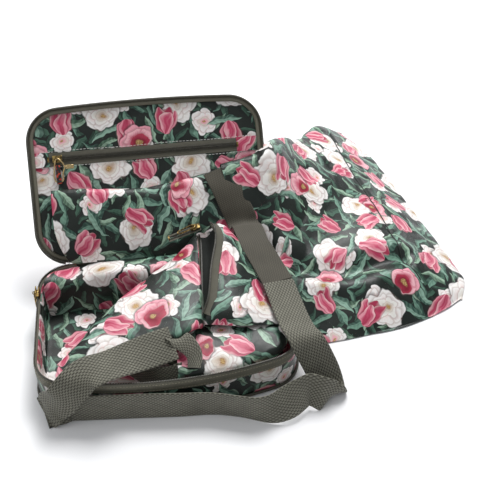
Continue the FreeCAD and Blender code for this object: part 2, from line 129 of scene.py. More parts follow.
def even_run(points: np.ndarray, count: int) -> np.ndarray:
    """Smooth curve through points, cut into equal lengths.

    Args:
        points: The points.
        count: Number of points wanted.

    Returns:
        The new points.
    """
    fine = smooth_run(points, count * 8)
    length = run_length(fine)
    wanted = np.linspace(0, length[-1], count)
    return np.stack([np.interp(wanted, length, fine[:, axis]) for axis in range(fine.shape[1])], axis=1)


def activate(obj: bpy.types.Object) -> None:
    """Select one object alone and make it active."""
    bpy.ops.object.select_all(action="DESELECT")
    obj.select_set(True)
    bpy.context.view_layer.objects.active = obj


def apply_modifier(obj: bpy.types.Object, kind: str, **settings: object) -> None:
    """Add a modifier with settings and apply it.

    Args:
        obj: The piece.
        kind: The modifier's type.
        settings: Its properties.
    """
    activate(obj)
    modifier = obj.modifiers.new(kind.lower(), kind)
    for name, value in settings.items():
        setattr(modifier, name, value)
    bpy.ops.object.modifier_apply(modifier=modifier.name)


def face_outwards(obj: bpy.types.Object) -> None:
    """Turn the faces of a closed mesh outwards.

    Args:
        obj: The piece.
    """
    mesh = bmesh.new()
    mesh.from_mesh(obj.data)
    bmesh.ops.recalc_face_normals(mesh, faces=mesh.faces)
    mesh.to_mesh(obj.data)
    mesh.free()


def new_object(name: str, points: np.ndarray, faces: list[tuple[int, ...]]) -> bpy.types.Object:
    """Make an object from points in metres and faces.

    Args:
        name: Name of the object.
        points: Points in metres.
        faces: Corners of each face.

    Returns:
        The object.
    """
    mesh = bpy.data.meshes.new(name)
    mesh.from_pydata(points.tolist(), [], faces)
    mesh.update()
    obj = bpy.data.objects.new(name, mesh)
    bpy.context.collection.objects.link(obj)
    return obj


def set_flat(obj: bpy.types.Object, corners: list[tuple[float, float]]) -> None:
    """Store a flat layout in metres, one place for each face corner."""
    layer = obj.data.uv_layers.new(name="flat")
    layer.data.foreach_set("uv", np.array(corners, np.float32).ravel())


def lattice(
    name: str, points: np.ndarray, flat: np.ndarray, wrap: tuple[bool, bool] = (False, False)
) -> bpy.types.Object:
    """Surface over a lattice of points.

    Args:
        name: Name of the object.
        points: Rows and columns of points in metres.
        flat: Flat layout in metres, with one row or column more where the lattice wraps round.
        wrap: Whether rows and columns close on themselves.

    Returns:
        The object.
    """
    rows, columns = points.shape[:2]
    faces = []
    corners = []
    for row in range(rows if wrap[0] else rows - 1):
        for column in range(columns if wrap[1] else columns - 1):
            around = ((row, column), (row, column + 1), (row + 1, column + 1), (row + 1, column))
            faces.append(tuple((r % rows) * columns + c % columns for r, c in around))
            corners += [tuple(flat[r, c]) for r, c in around]
    if wrap[1] and not wrap[0]:
        for row, order in ((0, range(columns - 1, -1, -1)), (rows - 1, range(columns))):
            faces.append(tuple(row * columns + column for column in order))
            corners += [tuple(flat[row, column]) for column in order]
    obj = new_object(name, points.reshape(-1, 3), faces)
    set_flat(obj, corners)
    return obj


def dress(obj: bpy.types.Object, finish: "Finish", angle: float = 40.0) -> bpy.types.Object:
    """Give a piece its material and smooth shading.

    Args:
        obj: The piece.
        finish: Its finish.
        angle: Degrees above which an edge stays sharp.

    Returns:
        The same piece.
    """
    obj.data.materials.clear()
    obj.data.materials.append(finish.material())
    activate(obj)
    bpy.ops.object.shade_smooth_by_angle(angle=math.radians(angle))
    return obj


def seat(obj: bpy.types.Object, body: Body, *nodes: str) -> bpy.types.Object:
    """Let a piece ride on a body and stand for its frame nodes.

    Args:
        obj: The piece.
        body: Body that it rides on.
        nodes: Frame nodes that it stands for.

    Returns:
        The same piece.
    """
    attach(obj, body.value)
    if nodes:
        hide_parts(*nodes)
    LOG.info("%s: %d faces, on %s", obj.name, len(obj.data.polygons), body.value)
    return obj


def block(name: str, low: Spot, high: Spot, bevel: float) -> bpy.types.Object:
    """Rounded block between two corners in millimetres.

    Args:
        name: Name of the object.
        low: Lowest corner.
        high: Highest corner.
        bevel: Size of its round edges.

    Returns:
        The block.
    """
    bpy.ops.object.select_all(action="DESELECT")
    middle = [(a + b) / 2 * MM for a, b in zip(low, high)]
    bpy.ops.mesh.primitive_cube_add(size=1.0, location=middle)
    obj = bpy.context.object
    obj.name = name
    obj.scale = [(b - a) * MM for a, b in zip(low, high)]
    bpy.ops.object.transform_apply(location=True, rotation=True, scale=True)
    apply_modifier(obj, "BEVEL", width=bevel * MM, segments=3, limit_method="NONE")
    return obj


def join(name: str, pieces: Sequence[bpy.types.Object], place: Matrix) -> bpy.types.Object:
    """Join pieces into one object without a flat layout, and carry its mesh to its place.

    Args:
        name: Name of the object.
        pieces: The pieces.
        place: Where the mesh goes.

    Returns:
        The joined object.
    """
    activate(pieces[0])
    for piece in pieces:
        piece.select_set(True)
        while piece.data.uv_layers:
            piece.data.uv_layers.remove(piece.data.uv_layers[0])
    bpy.ops.object.join()
    joined = bpy.context.object
    joined.name = name
    joined.data.transform(place)
    return joined


def rod(name: str, path: np.ndarray, radius: float, closed: bool, sides: int = 12) -> bpy.types.Object:
    """Round rod along a line of points.

    Args:
        name: Name of the object.
        path: Points in millimetres.
        radius: Radius in millimetres.
        closed: Whether the line is a loop.
        sides: Sides of the rod.

    Returns:
        The object, laid out flat by length and girth.
    """
    count = len(path)
    before = np.roll(path, 1, axis=0) if closed else np.concatenate([path[:1], path[:-1]])
    after = np.roll(path, -1, axis=0) if closed else np.concatenate([path[1:], path[-1:]])
    along = after - before
    along /= np.linalg.norm(along, axis=1, keepdims=True)
    guide = np.cross(along[0], (0.31, 0.17, 0.93))
    rings = np.zeros((count, sides, 3))
    for index in range(count):
        guide = guide - along[index] * guide.dot(along[index])
        guide /= np.linalg.norm(guide)
        other = np.cross(along[index], guide)
        for side in range(sides):
            turn = math.tau * side / sides
            rings[index, side] = path[index] + radius * (guide * math.cos(turn) + other * math.sin(turn))
    length = run_length(np.concatenate([path, path[:1]]) if closed else path)
    girth = np.linspace(0, math.tau * radius, sides + 1)
    flat = grid(length, girth)
    obj = lattice(name, rings * MM, flat, (closed, True))
    face_outwards(obj)
    return obj


def stamp(name: str, size: Spot, places: Sequence[tuple[np.ndarray, ...]]) -> bpy.types.Object:
    """Copy one small rounded bar to many places in a single mesh.

    Args:
        name: Name of the object.
        size: Length, width and height of the bar in millimetres.
        places: Middle, direction of the length and direction of the height of each copy.

    Returns:
        The object.
    """
    half = np.array(size) / 2
    outline = (
        (-1.0, -0.55), (-1.0, 0.55), (-0.6, 1.0), (0.6, 1.0), (1.0, 0.55), (1.0, -0.55), (0.6, -1.0), (-0.6, -1.0),
    )
    levels = ((0.72, -1.0), (1.0, -0.5), (1.0, 0.5), (0.72, 1.0))
    bar = np.array([(x * spread, y * spread, z) for spread, z in levels for x, y in outline]) * half
    ring = len(outline)
    shell = [tuple(range(ring - 1, -1, -1)), tuple(range(3 * ring, 4 * ring))]
    for level in range(3):
        for index in range(ring):
            following = (index + 1) % ring
            base = level * ring
            shell.append((base + index, base + following, base + ring + following, base + ring + index))
    points = []
    faces = []
    for number, (middle, along, height) in enumerate(places):
        side = np.cross(height, along)
        frame = np.stack([axis / np.linalg.norm(axis) for axis in (along, side, height)])
        points.append(bar @ frame + middle)
        faces += [tuple(corner + number * len(bar) for corner in face) for face in shell]
    obj = new_object(name, np.concatenate(points) * MM, faces)
    face_outwards(obj)
    return obj


def steady(x: float, y: float, z: float) -> Outward:
    """Outward direction that is the same all along a line."""
    direction = np.array((x, y, z), float)
    return lambda spot: direction


def dashes(path: np.ndarray, out: Outward, pitch: float) -> list[tuple[np.ndarray, ...]]:
    """Places for stitches or teeth at even steps along a line of points.

    Args:
        path: Points in millimetres.
        out: Gives the outward direction at a point.
        pitch: Millimetres from one place to the next.

    Returns:
        Middle, along and outward direction of each place.
    """
    length = run_length(path)
    steps = np.arange(pitch / 2, length[-1], pitch)
    middle = np.stack([np.interp(steps, length, path[:, axis]) for axis in range(3)], axis=1)
    ahead = np.stack([np.interp(steps + 0.3, length, path[:, axis]) for axis in range(3)], axis=1)
    behind = np.stack([np.interp(steps - 0.3, length, path[:, axis]) for axis in range(3)], axis=1)
    return [(spot, far - near, out(spot)) for spot, far, near in zip(middle, ahead, behind)]


# ---------------------------------------------------------------- shader arithmetic and the print
class Field:
    """A number or vector in a shader graph that can be used in plain arithmetic."""

    def __init__(self, tree: bpy.types.NodeTree, socket: bpy.types.NodeSocket) -> None:
        """Wrap a socket of a node tree."""
        self.tree = tree
        self.socket = socket

    def node(self, kind: str, *inputs: "Field | float", **settings: object) -> bpy.types.Node:
        """Add a node and feed its inputs in order.

        Args:
            kind: The node's type.
            inputs: Fields or plain numbers for the first sockets.
            settings: Properties of the node.

        Returns:
            The new node.
        """
        made = self.tree.nodes.new(kind)
        for name, value in settings.items():
            setattr(made, name, value)
        for index, value in enumerate(inputs):
            if isinstance(value, Field):
                self.tree.links.new(value.socket, made.inputs[index])
            else:
                made.inputs[index].default_value = value
        return made

    def out(self, made: bpy.types.Node, name: str | int = 0) -> "Field":
        """Wrap one output of a node."""
        return Field(self.tree, made.outputs[name])

    def calc(self, operation: str, *others: "Field | float") -> "Field":
        """Apply one of the math node's operations to this field."""
        return self.out(self.node("ShaderNodeMath", self, *others, operation=operation))

    def __add__(self, other: "Field | float") -> "Field":
        """Sum."""
        return self.calc("ADD", other)

    def __sub__(self, other: "Field | float") -> "Field":
        """Difference."""
        return self.calc("SUBTRACT", other)

    def __mul__(self, other: "Field | float") -> "Field":
        """Product."""
        return self.calc("MULTIPLY", other)

    def __truediv__(self, other: "Field | float") -> "Field":
        """Quotient."""
        return self.calc("DIVIDE", other)

    def ramp(self, low: float, high: float, start: float = 0.0, end: float = 1.0) -> "Field":
        """Smooth step of this field.

        Args:
            low: Value at which the step starts.
            high: Value at which it ends.
            start: Result at low.
            end: Result at high.

        Returns:
            The stepped field.
        """
        made = self.node("ShaderNodeMapRange", self, low, high, start, end, interpolation_type="SMOOTHSTEP")
        return self.out(made)

    def split(self) -> tuple["Field", "Field", "Field"]:
        """X, Y and Z of a vector."""
        made = self.node("ShaderNodeSeparateXYZ", self)
        return self.out(made, 0), self.out(made, 1), self.out(made, 2)

    def shifted(self, shift: Sequence[float], scale: float = 1.0) -> "Field":
        """Vector times scale, plus a shift."""
        made = self.node("ShaderNodeVectorMath", self, (scale,) * 3, tuple(shift), operation="MULTIPLY_ADD")
        return self.out(made)

    def noise(self, scale: float, detail: float = 2.0) -> "Field":
        """Soft noise from 0 to 1 at this vector.

        Args:
            scale: Waves per unit.
            detail: How fine it gets.

        Returns:
            The noise.
        """
        made = self.tree.nodes.new("ShaderNodeTexNoise")
        made.inputs["Scale"].default_value = scale
        made.inputs["Detail"].default_value = detail
        self.tree.links.new(self.socket, made.inputs["Vector"])
        return self.out(made, "Fac" if "Fac" in made.outputs else 0)

    def mix(self, first: "Field | Colour", second: "Field | Colour", amount: "Field | float") -> "Field":
        """Mix two colours.

        Args:
            first: Colour at 0.
            second: Colour at 1.
            amount: Share of the second.

        Returns:
            The mixed colour.
        """
        made = self.tree.nodes.new("ShaderNodeMix")
        made.data_type = "RGBA"
        sockets = {socket.identifier: socket for socket in made.inputs}
        for name, value in (("A_Color", first), ("B_Color", second), ("Factor_Float", amount)):
            if isinstance(value, Field):
                self.tree.links.new(value.socket, sockets[name])
            else:
                sockets[name].default_value = (*value, 1.0) if isinstance(value, tuple) else value
        return Field(self.tree, next(socket for socket in made.outputs if socket.identifier == "Result_Color"))

    def blend(self, other: "Field | Colour", amount: "Field | float") -> "Field":
        """Mix this colour with another."""
        return self.mix(self, other, amount)

    def colour(self, first: Colour, second: Colour) -> "Field":
        """Colour that runs from first at 0 to second at 1."""
        return self.mix(first, second, self)


@dataclass(frozen=True)
class Leaves:
    """One layer of leaves: metres between them, shift, half a length and width, shaded and lit side."""

    spacing: float
    seed: float
    half: float
    wide: float
    dark: Colour
    light: Colour


@dataclass(frozen=True)
class Petals:
    """One ring of petals in a flower seen from the front."""

    count: int
    reach: float
    cusp: float
    phase: float
    heart: Colour
    tip: Colour
    seam: Colour


@dataclass(frozen=True)
class Bloom:
    """A flower seen from the front: rings of petals round a speckled heart, which may sit off the middle."""

    spacing: float
    radius: float
    jitter: float
    seed: float
    rings: tuple[Petals, ...]
    heart_reach: float
    heart: Colour
    squeeze: float = 1.0
    drift: float = 0.0


class FloralPrint:
    """Node group that paints tulips, peonies and leaves on a flat vector in metres."""

    GROUND: Colour = (0.005, 0.009, 0.007)
    SHADE: Colour = (0.004, 0.006, 0.005)
    WHITE: Colour = (0.86, 0.84, 0.82)
    CREAM: Colour = (0.72, 0.66, 0.58)
    BLUSH: Colour = (0.80, 0.60, 0.56)
    ROSE: Colour = (0.52, 0.05, 0.12)
    PINK: Colour = (0.84, 0.38, 0.45)
    CRIMSON: Colour = (0.22, 0.008, 0.025)
    GOLD: Colour = (0.30, 0.15, 0.05)
    UNDERGROWTH: tuple[Leaves, ...] = (
        Leaves(0.026, 3.1, 0.020, 0.0037, (0.012, 0.032, 0.022), (0.055, 0.125, 0.085)),
        Leaves(0.033, 7.7, 0.021, 0.0042, (0.018, 0.050, 0.037), (0.17, 0.32, 0.24)),
        Leaves(0.036, 12.3, 0.020, 0.0040, (0.035, 0.085, 0.050), (0.32, 0.47, 0.35)),
    )
    TOP_LEAVES: Leaves = Leaves(0.048, 19.9, 0.022, 0.0045, (0.022, 0.066, 0.048), (0.27, 0.44, 0.345))
    SMALL: Bloom = Bloom(
        0.070, 0.0150, 0.6, 5.3,
        (
            Petals(6, 1.0, 0.26, 0.4, BLUSH, WHITE, BLUSH),
            Petals(5, 0.72, 0.22, 1.9, BLUSH, WHITE, PINK),
            Petals(4, 0.42, 0.20, 0.7, PINK, CREAM, PINK),
        ),
        0.16, GOLD,
    )
    PEONY: Bloom = Bloom(
        0.083, 0.0270, 0.5, 1.7,
        (
            Petals(5, 1.0, 0.22, 0.2, CREAM, WHITE, BLUSH),
            Petals(5, 0.80, 0.20, 1.4, BLUSH, WHITE, (0.50, 0.36, 0.32)),
            Petals(4, 0.56, 0.20, 2.6, CREAM, (0.84, 0.82, 0.78), BLUSH),
            Petals(3, 0.34, 0.24, 0.9, (0.50, 0.36, 0.26), CREAM, BLUSH),
        ),
        0.15, GOLD, squeeze=1.15, drift=0.006,
    )
    CUP: Bloom = Bloom(
        0.135, 0.0185, 0.5, 14.2,
        (
            Petals(5, 1.0, 0.14, 0.2, ROSE, PINK, ROSE),
            Petals(3, 0.86, 0.16, 1.2, ROSE, (0.84, 0.48, 0.52), ROSE),
            Petals(3, 0.62, 0.16, 2.2, CRIMSON, (0.42, 0.03, 0.07), CRIMSON),
        ),
        0.24, (0.20, 0.10, 0.04), squeeze=1.25, drift=0.019,
    )
    REACH: float = 0.0055

    def __init__(self, name: str) -> None:
        """Make the named group with its sockets.

        Args:
            name: Name of the group.
        """
        self.tree = bpy.data.node_groups.new(name, "ShaderNodeTree")
        self.tree.interface.new_socket("Flat", in_out="INPUT", socket_type="NodeSocketVector")
        self.tree.interface.new_socket("Colour", in_out="OUTPUT", socket_type="NodeSocketColor")
        inputs = self.tree.nodes.new("NodeGroupInput")
        self.flat = Field(self.tree, inputs.outputs["Flat"])
        self.wobble = self.flat.noise(90.0, 2.0) - 0.5
        cloud = self.tree.nodes.new("ShaderNodeTexNoise")
        cloud.inputs["Scale"].default_value = 75.0
        cloud.inputs["Detail"].default_value = 0.6
        self.tree.links.new(self.flat.socket, cloud.inputs["Vector"])
        self.bend = self.flat.out(cloud, "Color").shifted((-0.5, -0.5, -0.5))

    def cell(self, spacing: float, jitter: float, seed: float) -> tuple[Field, Field, Field, Field]:
        """Scatter cells and give the place inside the nearest one.

        Args:
            spacing: Metres between cells.
            jitter: How far a cell may leave its grid place, 0 to 1.
            seed: Shift of the whole layer, in cells.

        Returns:
            X and Y in metres in the cell's own turned frame, and two random numbers of the cell.
        """
        place = self.flat.shifted((seed, seed * 0.37, 0.0), 1.0 / spacing)
        made = self.tree.nodes.new("ShaderNodeTexVoronoi")
        made.voronoi_dimensions = "2D"
        made.inputs["Scale"].default_value = 1.0
        made.inputs["Randomness"].default_value = jitter
        self.tree.links.new(place.socket, made.inputs["Vector"])
        centre = Field(self.tree, made.outputs["Position"])
        first, second, third = Field(self.tree, made.outputs["Color"]).split()
        local = place.out(place.node("ShaderNodeVectorMath", place, centre, operation="SUBTRACT"))
        reach = (2.0 * self.REACH / spacing,) * 3
        bent = local.out(local.node("ShaderNodeVectorMath", self.bend, reach, operation="MULTIPLY"))
        local = local.out(local.node("ShaderNodeVectorMath", local, bent, operation="ADD"))
        turn = self.tree.nodes.new("ShaderNodeVectorRotate")
        turn.rotation_type = "Z_AXIS"
        self.tree.links.new(local.socket, turn.inputs["Vector"])
        self.tree.links.new((first * math.tau).socket, turn.inputs["Angle"])
        x, y, _ = Field(self.tree, turn.outputs["Vector"]).split()
        return x * spacing, y * spacing, second, third

    def leaves(self, under: Field, spec: Leaves) -> Field:
        """Scatter lance-shaped leaves.

        Args:
            under: Colour painted so far.
            spec: The leaves.

        Returns:
            The new colour.
        """
        x, y, first, second = self.cell(spec.spacing, 0.9, spec.seed)
        along = y / spec.half
        bent = x + along * along * (first - 0.5) * (spec.half * 0.5) + self.wobble * 0.0012
        wide = spec.wide
        width = (along * along * -1.0 + 1.0).calc("MAXIMUM", 0.0) * (along * 0.35 + 1.0) * wide
        edge = bent.calc("ABSOLUTE") / (width + 1e-5)
        side = (bent / (width + 1e-5)).ramp(-0.5, 0.7)
        vein = (bent.calc("ABSOLUTE") / wide).ramp(0.03, 0.14, 0.5, 0.0)
        ribs = (bent.calc("ABSOLUTE") * 900.0 - along * 22.0).calc("SINE") * 0.12
        tone = (side * 0.75 + ribs + second * 0.3 + vein).colour(spec.dark, spec.light)
        inside = edge.ramp(1.04, 0.9)
        shade = under.blend(self.SHADE, edge.ramp(1.6, 1.0) * 0.6)
        return shade.blend(tone, inside)

    def bloom(self, under: Field, spec: Bloom) -> Field:
        """Scatter flowers seen from the front.

        Args:
            under: Colour painted so far.
            spec: The flower.

        Returns:
            The new colour.
        """
        x, y, first, second = self.cell(spec.spacing, spec.jitter, spec.seed)
        y = y * spec.squeeze
        size = first * 0.25 + 0.85
        colour = under
        for index, ring in enumerate(spec.rings):
            shifted = y - spec.drift * (1.0 - ring.reach)
            angle = shifted.calc("ARCTAN2", x)
            away = ((x * x + shifted * shifted).calc("SQRT") / spec.radius) / size + self.wobble * 0.24
            streaks = (angle * 26.0 + self.wobble * 30.0).calc("SINE") * 0.10
            swing = (angle * (ring.count / 2) + first * 6.0 + ring.phase).calc("SINE").calc("ABSOLUTE")
            edge = swing.calc("POWER", 0.55) * (ring.reach * ring.cusp) + ring.reach * (1 - ring.cusp)
            out = away / edge
            tone = (out.ramp(0.35, 1.0) + streaks).colour(ring.heart, ring.tip)
            tone = tone.blend(ring.seam, swing.ramp(0.34, 0.0) * out.ramp(0.45, 0.95) * 0.55)
            shadow = out.ramp(1.22, 0.98) * (0.75 if index == 0 else 0.42)
            cast: Colour = self.SHADE if index == 0 else (0.30, 0.20, 0.18)
            colour = colour.blend(cast, shadow).blend(tone, out.ramp(1.03, 0.97))
        speck = self.flat.noise(900.0, 1.0)
        heart = speck.ramp(0.35, 0.65).colour(spec.heart, (0.62, 0.42, 0.16))
        reach = away + speck * 0.16 - 0.08
        return colour.blend(heart, reach.ramp(spec.heart_reach, spec.heart_reach * 0.6))

    def tulips(self, under: Field, spacing: float, seed: float, half: float) -> Field:
        """Scatter tulips seen from the side.

        Args:
            under: Colour painted so far.
            spacing: Metres between tulips.
            seed: Shift of this layer.
            half: Half a tulip's length.

        Returns:
            The new colour.
        """
        x, y, first, second = self.cell(spacing, 0.55, seed)
        x = x / half + self.wobble * 0.12
        y = y / half + self.wobble * 0.10
        colour = under
        petals = ((0.0, 0.16, 0.46, 0.80, 0.0, 0.55), (-0.34, -0.02, 0.40, 0.92, 0.20, 0.25),
                  (0.34, -0.04, 0.40, 0.90, -0.20, 0.1), (0.04, -0.16, 0.42, 0.84, 0.0, 0.0))
        for index, (middle, low, wide, tall, lean, dark) in enumerate(petals):
            along = (y - low) / tall
            across = x - middle - y * lean * -1.0
            round_end = (along * along * -1.0 + 1.0).calc("MAXIMUM", 0.0).calc("SQRT")
            width = round_end * (along * -0.22 + 1.0) * wide
            edge = across.calc("ABSOLUTE") / (width + 1e-4)
            streaks = (across * 30.0 + self.wobble * 9.0).calc("SINE") * 0.16
            pale = edge.ramp(0.15, 1.0) * 0.85 + along.ramp(0.0, 1.0) * 0.40 + streaks
            pale = pale - dark + second * 0.20 - 0.10
            hem = (edge.ramp(0.45, 1.0) * along.ramp(-0.7, 0.6)) * 0.6
            tone = pale.colour(self.ROSE, self.PINK).blend(self.BLUSH, hem)
            tone = tone.blend(self.CRIMSON, (edge.ramp(0.75, 0.0) * along.ramp(0.2, -0.9)) * 0.45 + dark * 0.8)
            cast: Colour = self.SHADE if index == 0 else (0.16, 0.01, 0.03)
            colour = colour.blend(cast, edge.ramp(1.25, 1.0) * 0.5).blend(tone, edge.ramp(1.04, 0.95))
        return colour

    def paint(self) -> bpy.types.NodeTree:
        """Lay ground, leaves and flowers over each other.

        Returns:
            The finished group.
        """
        mottle = self.flat.noise(25.0)
        colour = mottle.colour(self.GROUND, (0.010, 0.016, 0.012))
        for spec in self.UNDERGROWTH:
            colour = self.leaves(colour, spec)
        colour = self.bloom(colour, self.SMALL)
        colour = self.leaves(colour, self.TOP_LEAVES)
        colour = self.bloom(colour, self.PEONY)
        colour = self.tulips(colour, 0.064, 9.4, 0.0178)
        colour = self.bloom(colour, self.CUP)
        outputs = self.tree.nodes.new("NodeGroupOutput")
        self.tree.links.new(colour.socket, outputs.inputs["Colour"])
        return self.tree


# ---------------------------------------------------------------- finishes
class Finish:
    """Base of the finishes: a named material, built once, for one of the record's slots."""

    slot = ""
    made: dict[str, bpy.types.Material] = {}

    def material(self) -> bpy.types.Material:
        """Build the material, or give the one already built."""
        key = repr(self)
        if key not in self.made:
            material = bpy.data.materials.new(type(self).__name__.lower())
            material.use_nodes = True
            tree = material.node_tree
            shader = tree.nodes["Principled BSDF"]
            self.paint(tree, shader)
            self.made[key] = material
        return self.made[key]

    def paint(self, tree: bpy.types.NodeTree, shader: bpy.types.Node) -> None:
        """Wire the material's nodes.

        Args:
            tree: The material's nodes.
            shader: Its shader.
        """
        raise NotImplementedError

    @staticmethod
    def flat(tree: bpy.types.NodeTree) -> Field:
        """The piece's flat layout, in metres."""
        return Field(tree, tree.nodes.new("ShaderNodeUVMap").outputs["UV"])

    @staticmethod
    def solid(tree: bpy.types.NodeTree) -> Field:
        """Place in the object, in metres."""
        return Field(tree, tree.nodes.new("ShaderNodeTexCoord").outputs["Object"])

    @staticmethod
    def feed(tree: bpy.types.NodeTree, shader: bpy.types.Node, **inputs: Field) -> None:
        """Link fields to the shader's sockets."""
        for name, value in inputs.items():
            tree.links.new(value.socket, shader.inputs[name.replace("_", " ")])

    @staticmethod
    def bump(tree: bpy.types.NodeTree, shader: bpy.types.Node, height: Field, depth: float) -> None:
        """Raise the surface by height times depth, in millimetres.

        Args:
            tree: The material's nodes.
            shader: Its shader.
            height: Height from 0 to 1.
            depth: Millimetres.
        """
        made = tree.nodes.new("ShaderNodeBump")
        made.inputs["Strength"].default_value = 1.0
        made.inputs["Distance"].default_value = depth * MM
        tree.links.new(height.socket, made.inputs["Height"])
        tree.links.new(made.outputs["Normal"], shader.inputs["Normal"])


@dataclass(frozen=True)
class FloralCloth(Finish):
    """Printed, lightly coated polyester with a fine weave and soft creases."""

    slot: str = "floral_cloth"
    roughness: float = 0.36
    group: str = "floral_print"

    def paint(self, tree: bpy.types.NodeTree, shader: bpy.types.Node) -> None:
        """Print on the flat layout, over a weave finer than a millimetre.

        Args:
            tree: The material's nodes.
            shader: Its shader.
        """
        flat = self.flat(tree)
        made = tree.nodes.new("ShaderNodeGroup")
        made.node_tree = bpy.data.node_groups.get(self.group) or FloralPrint(self.group).paint()
        tree.links.new(flat.socket, made.inputs["Flat"])
        colour = Field(tree, made.outputs["Colour"])
        x, y, _ = flat.split()
        weave = (x * 9000.0).calc("SINE") * (y * 9000.0).calc("SINE")
        crease = flat.noise(55.0, 4.0)
        gloss = crease.ramp(0.3, 0.7, self.roughness - 0.06, self.roughness + 0.10)
        self.feed(tree, shader, Base_Color=colour, Roughness=gloss)
        self.bump(tree, shader, weave * 0.06 + crease * 2.0, 0.5)
        shader.inputs["Specular IOR Level"].default_value = 0.36
        shader.inputs["Coat Weight"].default_value = 0.10
        shader.inputs["Coat Roughness"].default_value = 0.22


@dataclass(frozen=True)
class Webbing(Finish):
    """Khaki webbing: coarse basket weave, or a finer twill."""

    slot: str = "khaki_webbing"
    pitch: float = 2.1
    # The dark tone fills the weave's hollows as painted shade; the light tone is the yarn's flecks plus a painted
    # highlight on the knot tops.
    thread: Colour = (0.072, 0.067, 0.048)
    fleck_and_highlight: Colour = (0.25, 0.245, 0.19)
    depth: float = 0.45

    def paint(self, tree: bpy.types.NodeTree, shader: bpy.types.Node) -> None:
        """Staggered knots of yarn, with a painted highlight on their tops, painted shade in the hollows between them,
        and mottled wear.

        Args:
            tree: The material's nodes.
            shader: Its shader.
        """
        flat = self.flat(tree)
        x, y, _ = flat.split()
        turn = math.pi / (self.pitch * MM)
        knots = ((x * turn).calc("SINE") * (y * (turn * 0.72)).calc("SINE")) * 0.5 + 0.5
        ribs = (x * (2 * turn)).calc("COSINE") * 0.5 + 0.5
        height = knots * 0.7 + ribs * 0.3
        wear = flat.noise(60.0, 3.0)
        fibre = flat.noise(2500.0, 2.0)
        # Painted light: the knots' height lightens their tops (painted highlight) and darkens the hollows (painted
        # shade); wear and fibre are the yarn's own mottle.
        light = height.ramp(0.30, 0.95) * (wear * 0.7 + 0.45) * (fibre * 0.7 + 0.65)
        self.feed(tree, shader, Base_Color=light.colour(self.thread, self.fleck_and_highlight))
        self.bump(tree, shader, height + fibre * 0.25, self.depth)
        shader.inputs["Roughness"].default_value = 0.78
        shader.inputs["Sheen Weight"].default_value = 0.15


@dataclass(frozen=True)
class ZipTape(Finish):
    """Khaki zip tape with fine ribs along it."""

    slot: str = "khaki_zip_tape"
    tone: Colour = (0.135, 0.128, 0.092)
    dark: Colour = (0.060, 0.056, 0.040)
    across: int = 1
    rib: float = 0.9

    def paint(self, tree: bpy.types.NodeTree, shader: bpy.types.Node) -> None:
        """Ribs, herringbone threads and a soft mottle.

        Args:
            tree: The material's nodes.
            shader: Its shader.
        """
        flat = self.flat(tree)
        parts = flat.split()
        ribs = (parts[self.across] * (math.tau / (self.rib * MM))).calc("SINE") * 0.5 + 0.5
        threads = ((parts[0] + parts[1]) * 9000.0).calc("SINE") * 0.5 + 0.5
        mottle = flat.noise(120.0, 3.0)
        light = ribs * 0.45 + threads * 0.2 + mottle * 0.5 - 0.1
        self.feed(tree, shader, Base_Color=light.colour(self.dark, self.tone))
        self.bump(tree, shader, ribs + threads * 0.3, 0.18)
        shader.inputs["Roughness"].default_value = 0.66


@dataclass(frozen=True)
class Piping(Finish):
    """Coated khaki cord round the case's edges."""

    slot: str = "khaki_piping"
    tone: Colour = (0.085, 0.082, 0.060)

    def paint(self, tree: bpy.types.NodeTree, shader: bpy.types.Node) -> None:
        """Fine twisted yarn under a matt coat.

        Args:
            tree: The material's nodes.
            shader: Its shader.
        """
        flat = self.flat(tree)
        x, y, _ = flat.split()
        twist = ((x + y * 0.6) * 7000.0).calc("SINE") * 0.5 + 0.5
        mottle = flat.noise(90.0, 3.0)
        light = twist * 0.35 + mottle * 0.5
        self.feed(tree, shader, Base_Color=light.colour((0.045, 0.043, 0.032), self.tone))
        self.bump(tree, shader, twist, 0.12)
        shader.inputs["Roughness"].default_value = 0.52


@dataclass(frozen=True)
class Moulded(Finish):
    """Plain nylon or sewing thread with a slight unevenness; also the near-black cord of painted shadow in the floor
    cloth's seam.
    """

    slot: str = "dark_coil"
    tone: Colour = (0.040, 0.038, 0.028)
    worn: Colour = (0.075, 0.070, 0.052)
    roughness: float = 0.42

    def paint(self, tree: bpy.types.NodeTree, shader: bpy.types.Node) -> None:
        """Two close tones mixed by noise.

        Args:
            tree: The material's nodes.
            shader: Its shader.
        """
        mottle = self.solid(tree).noise(400.0, 2.0)
        self.feed(tree, shader, Base_Color=mottle.ramp(0.3, 0.7).colour(self.tone, self.worn))
        self.bump(tree, shader, mottle, 0.05)
        shader.inputs["Roughness"].default_value = self.roughness


@dataclass(frozen=True)
class Metal(Finish):
    """Plated zinc: antique brass or pale gold."""

    slot: str = "antique_brass"
    bright: Colour = (0.56, 0.40, 0.16)
    dull: Colour = (0.16, 0.11, 0.045)
    roughness: float = 0.30

    def paint(self, tree: bpy.types.NodeTree, shader: bpy.types.Node) -> None:
        """Patina in the hollows and rubbed bright patches.

        Args:
            tree: The material's nodes.
            shader: Its shader.
        """
        solid = self.solid(tree)
        patina = solid.noise(350.0, 4.0)
        self.feed(
            tree,
            shader,
            Base_Color=patina.ramp(0.40, 0.62).colour(self.dull, self.bright),
            Roughness=patina.ramp(0.3, 0.7, self.roughness + 0.15, self.roughness - 0.05),
        )
        self.bump(tree, shader, solid.noise(1500.0, 2.0), 0.02)
        shader.inputs["Metallic"].default_value = 1.0


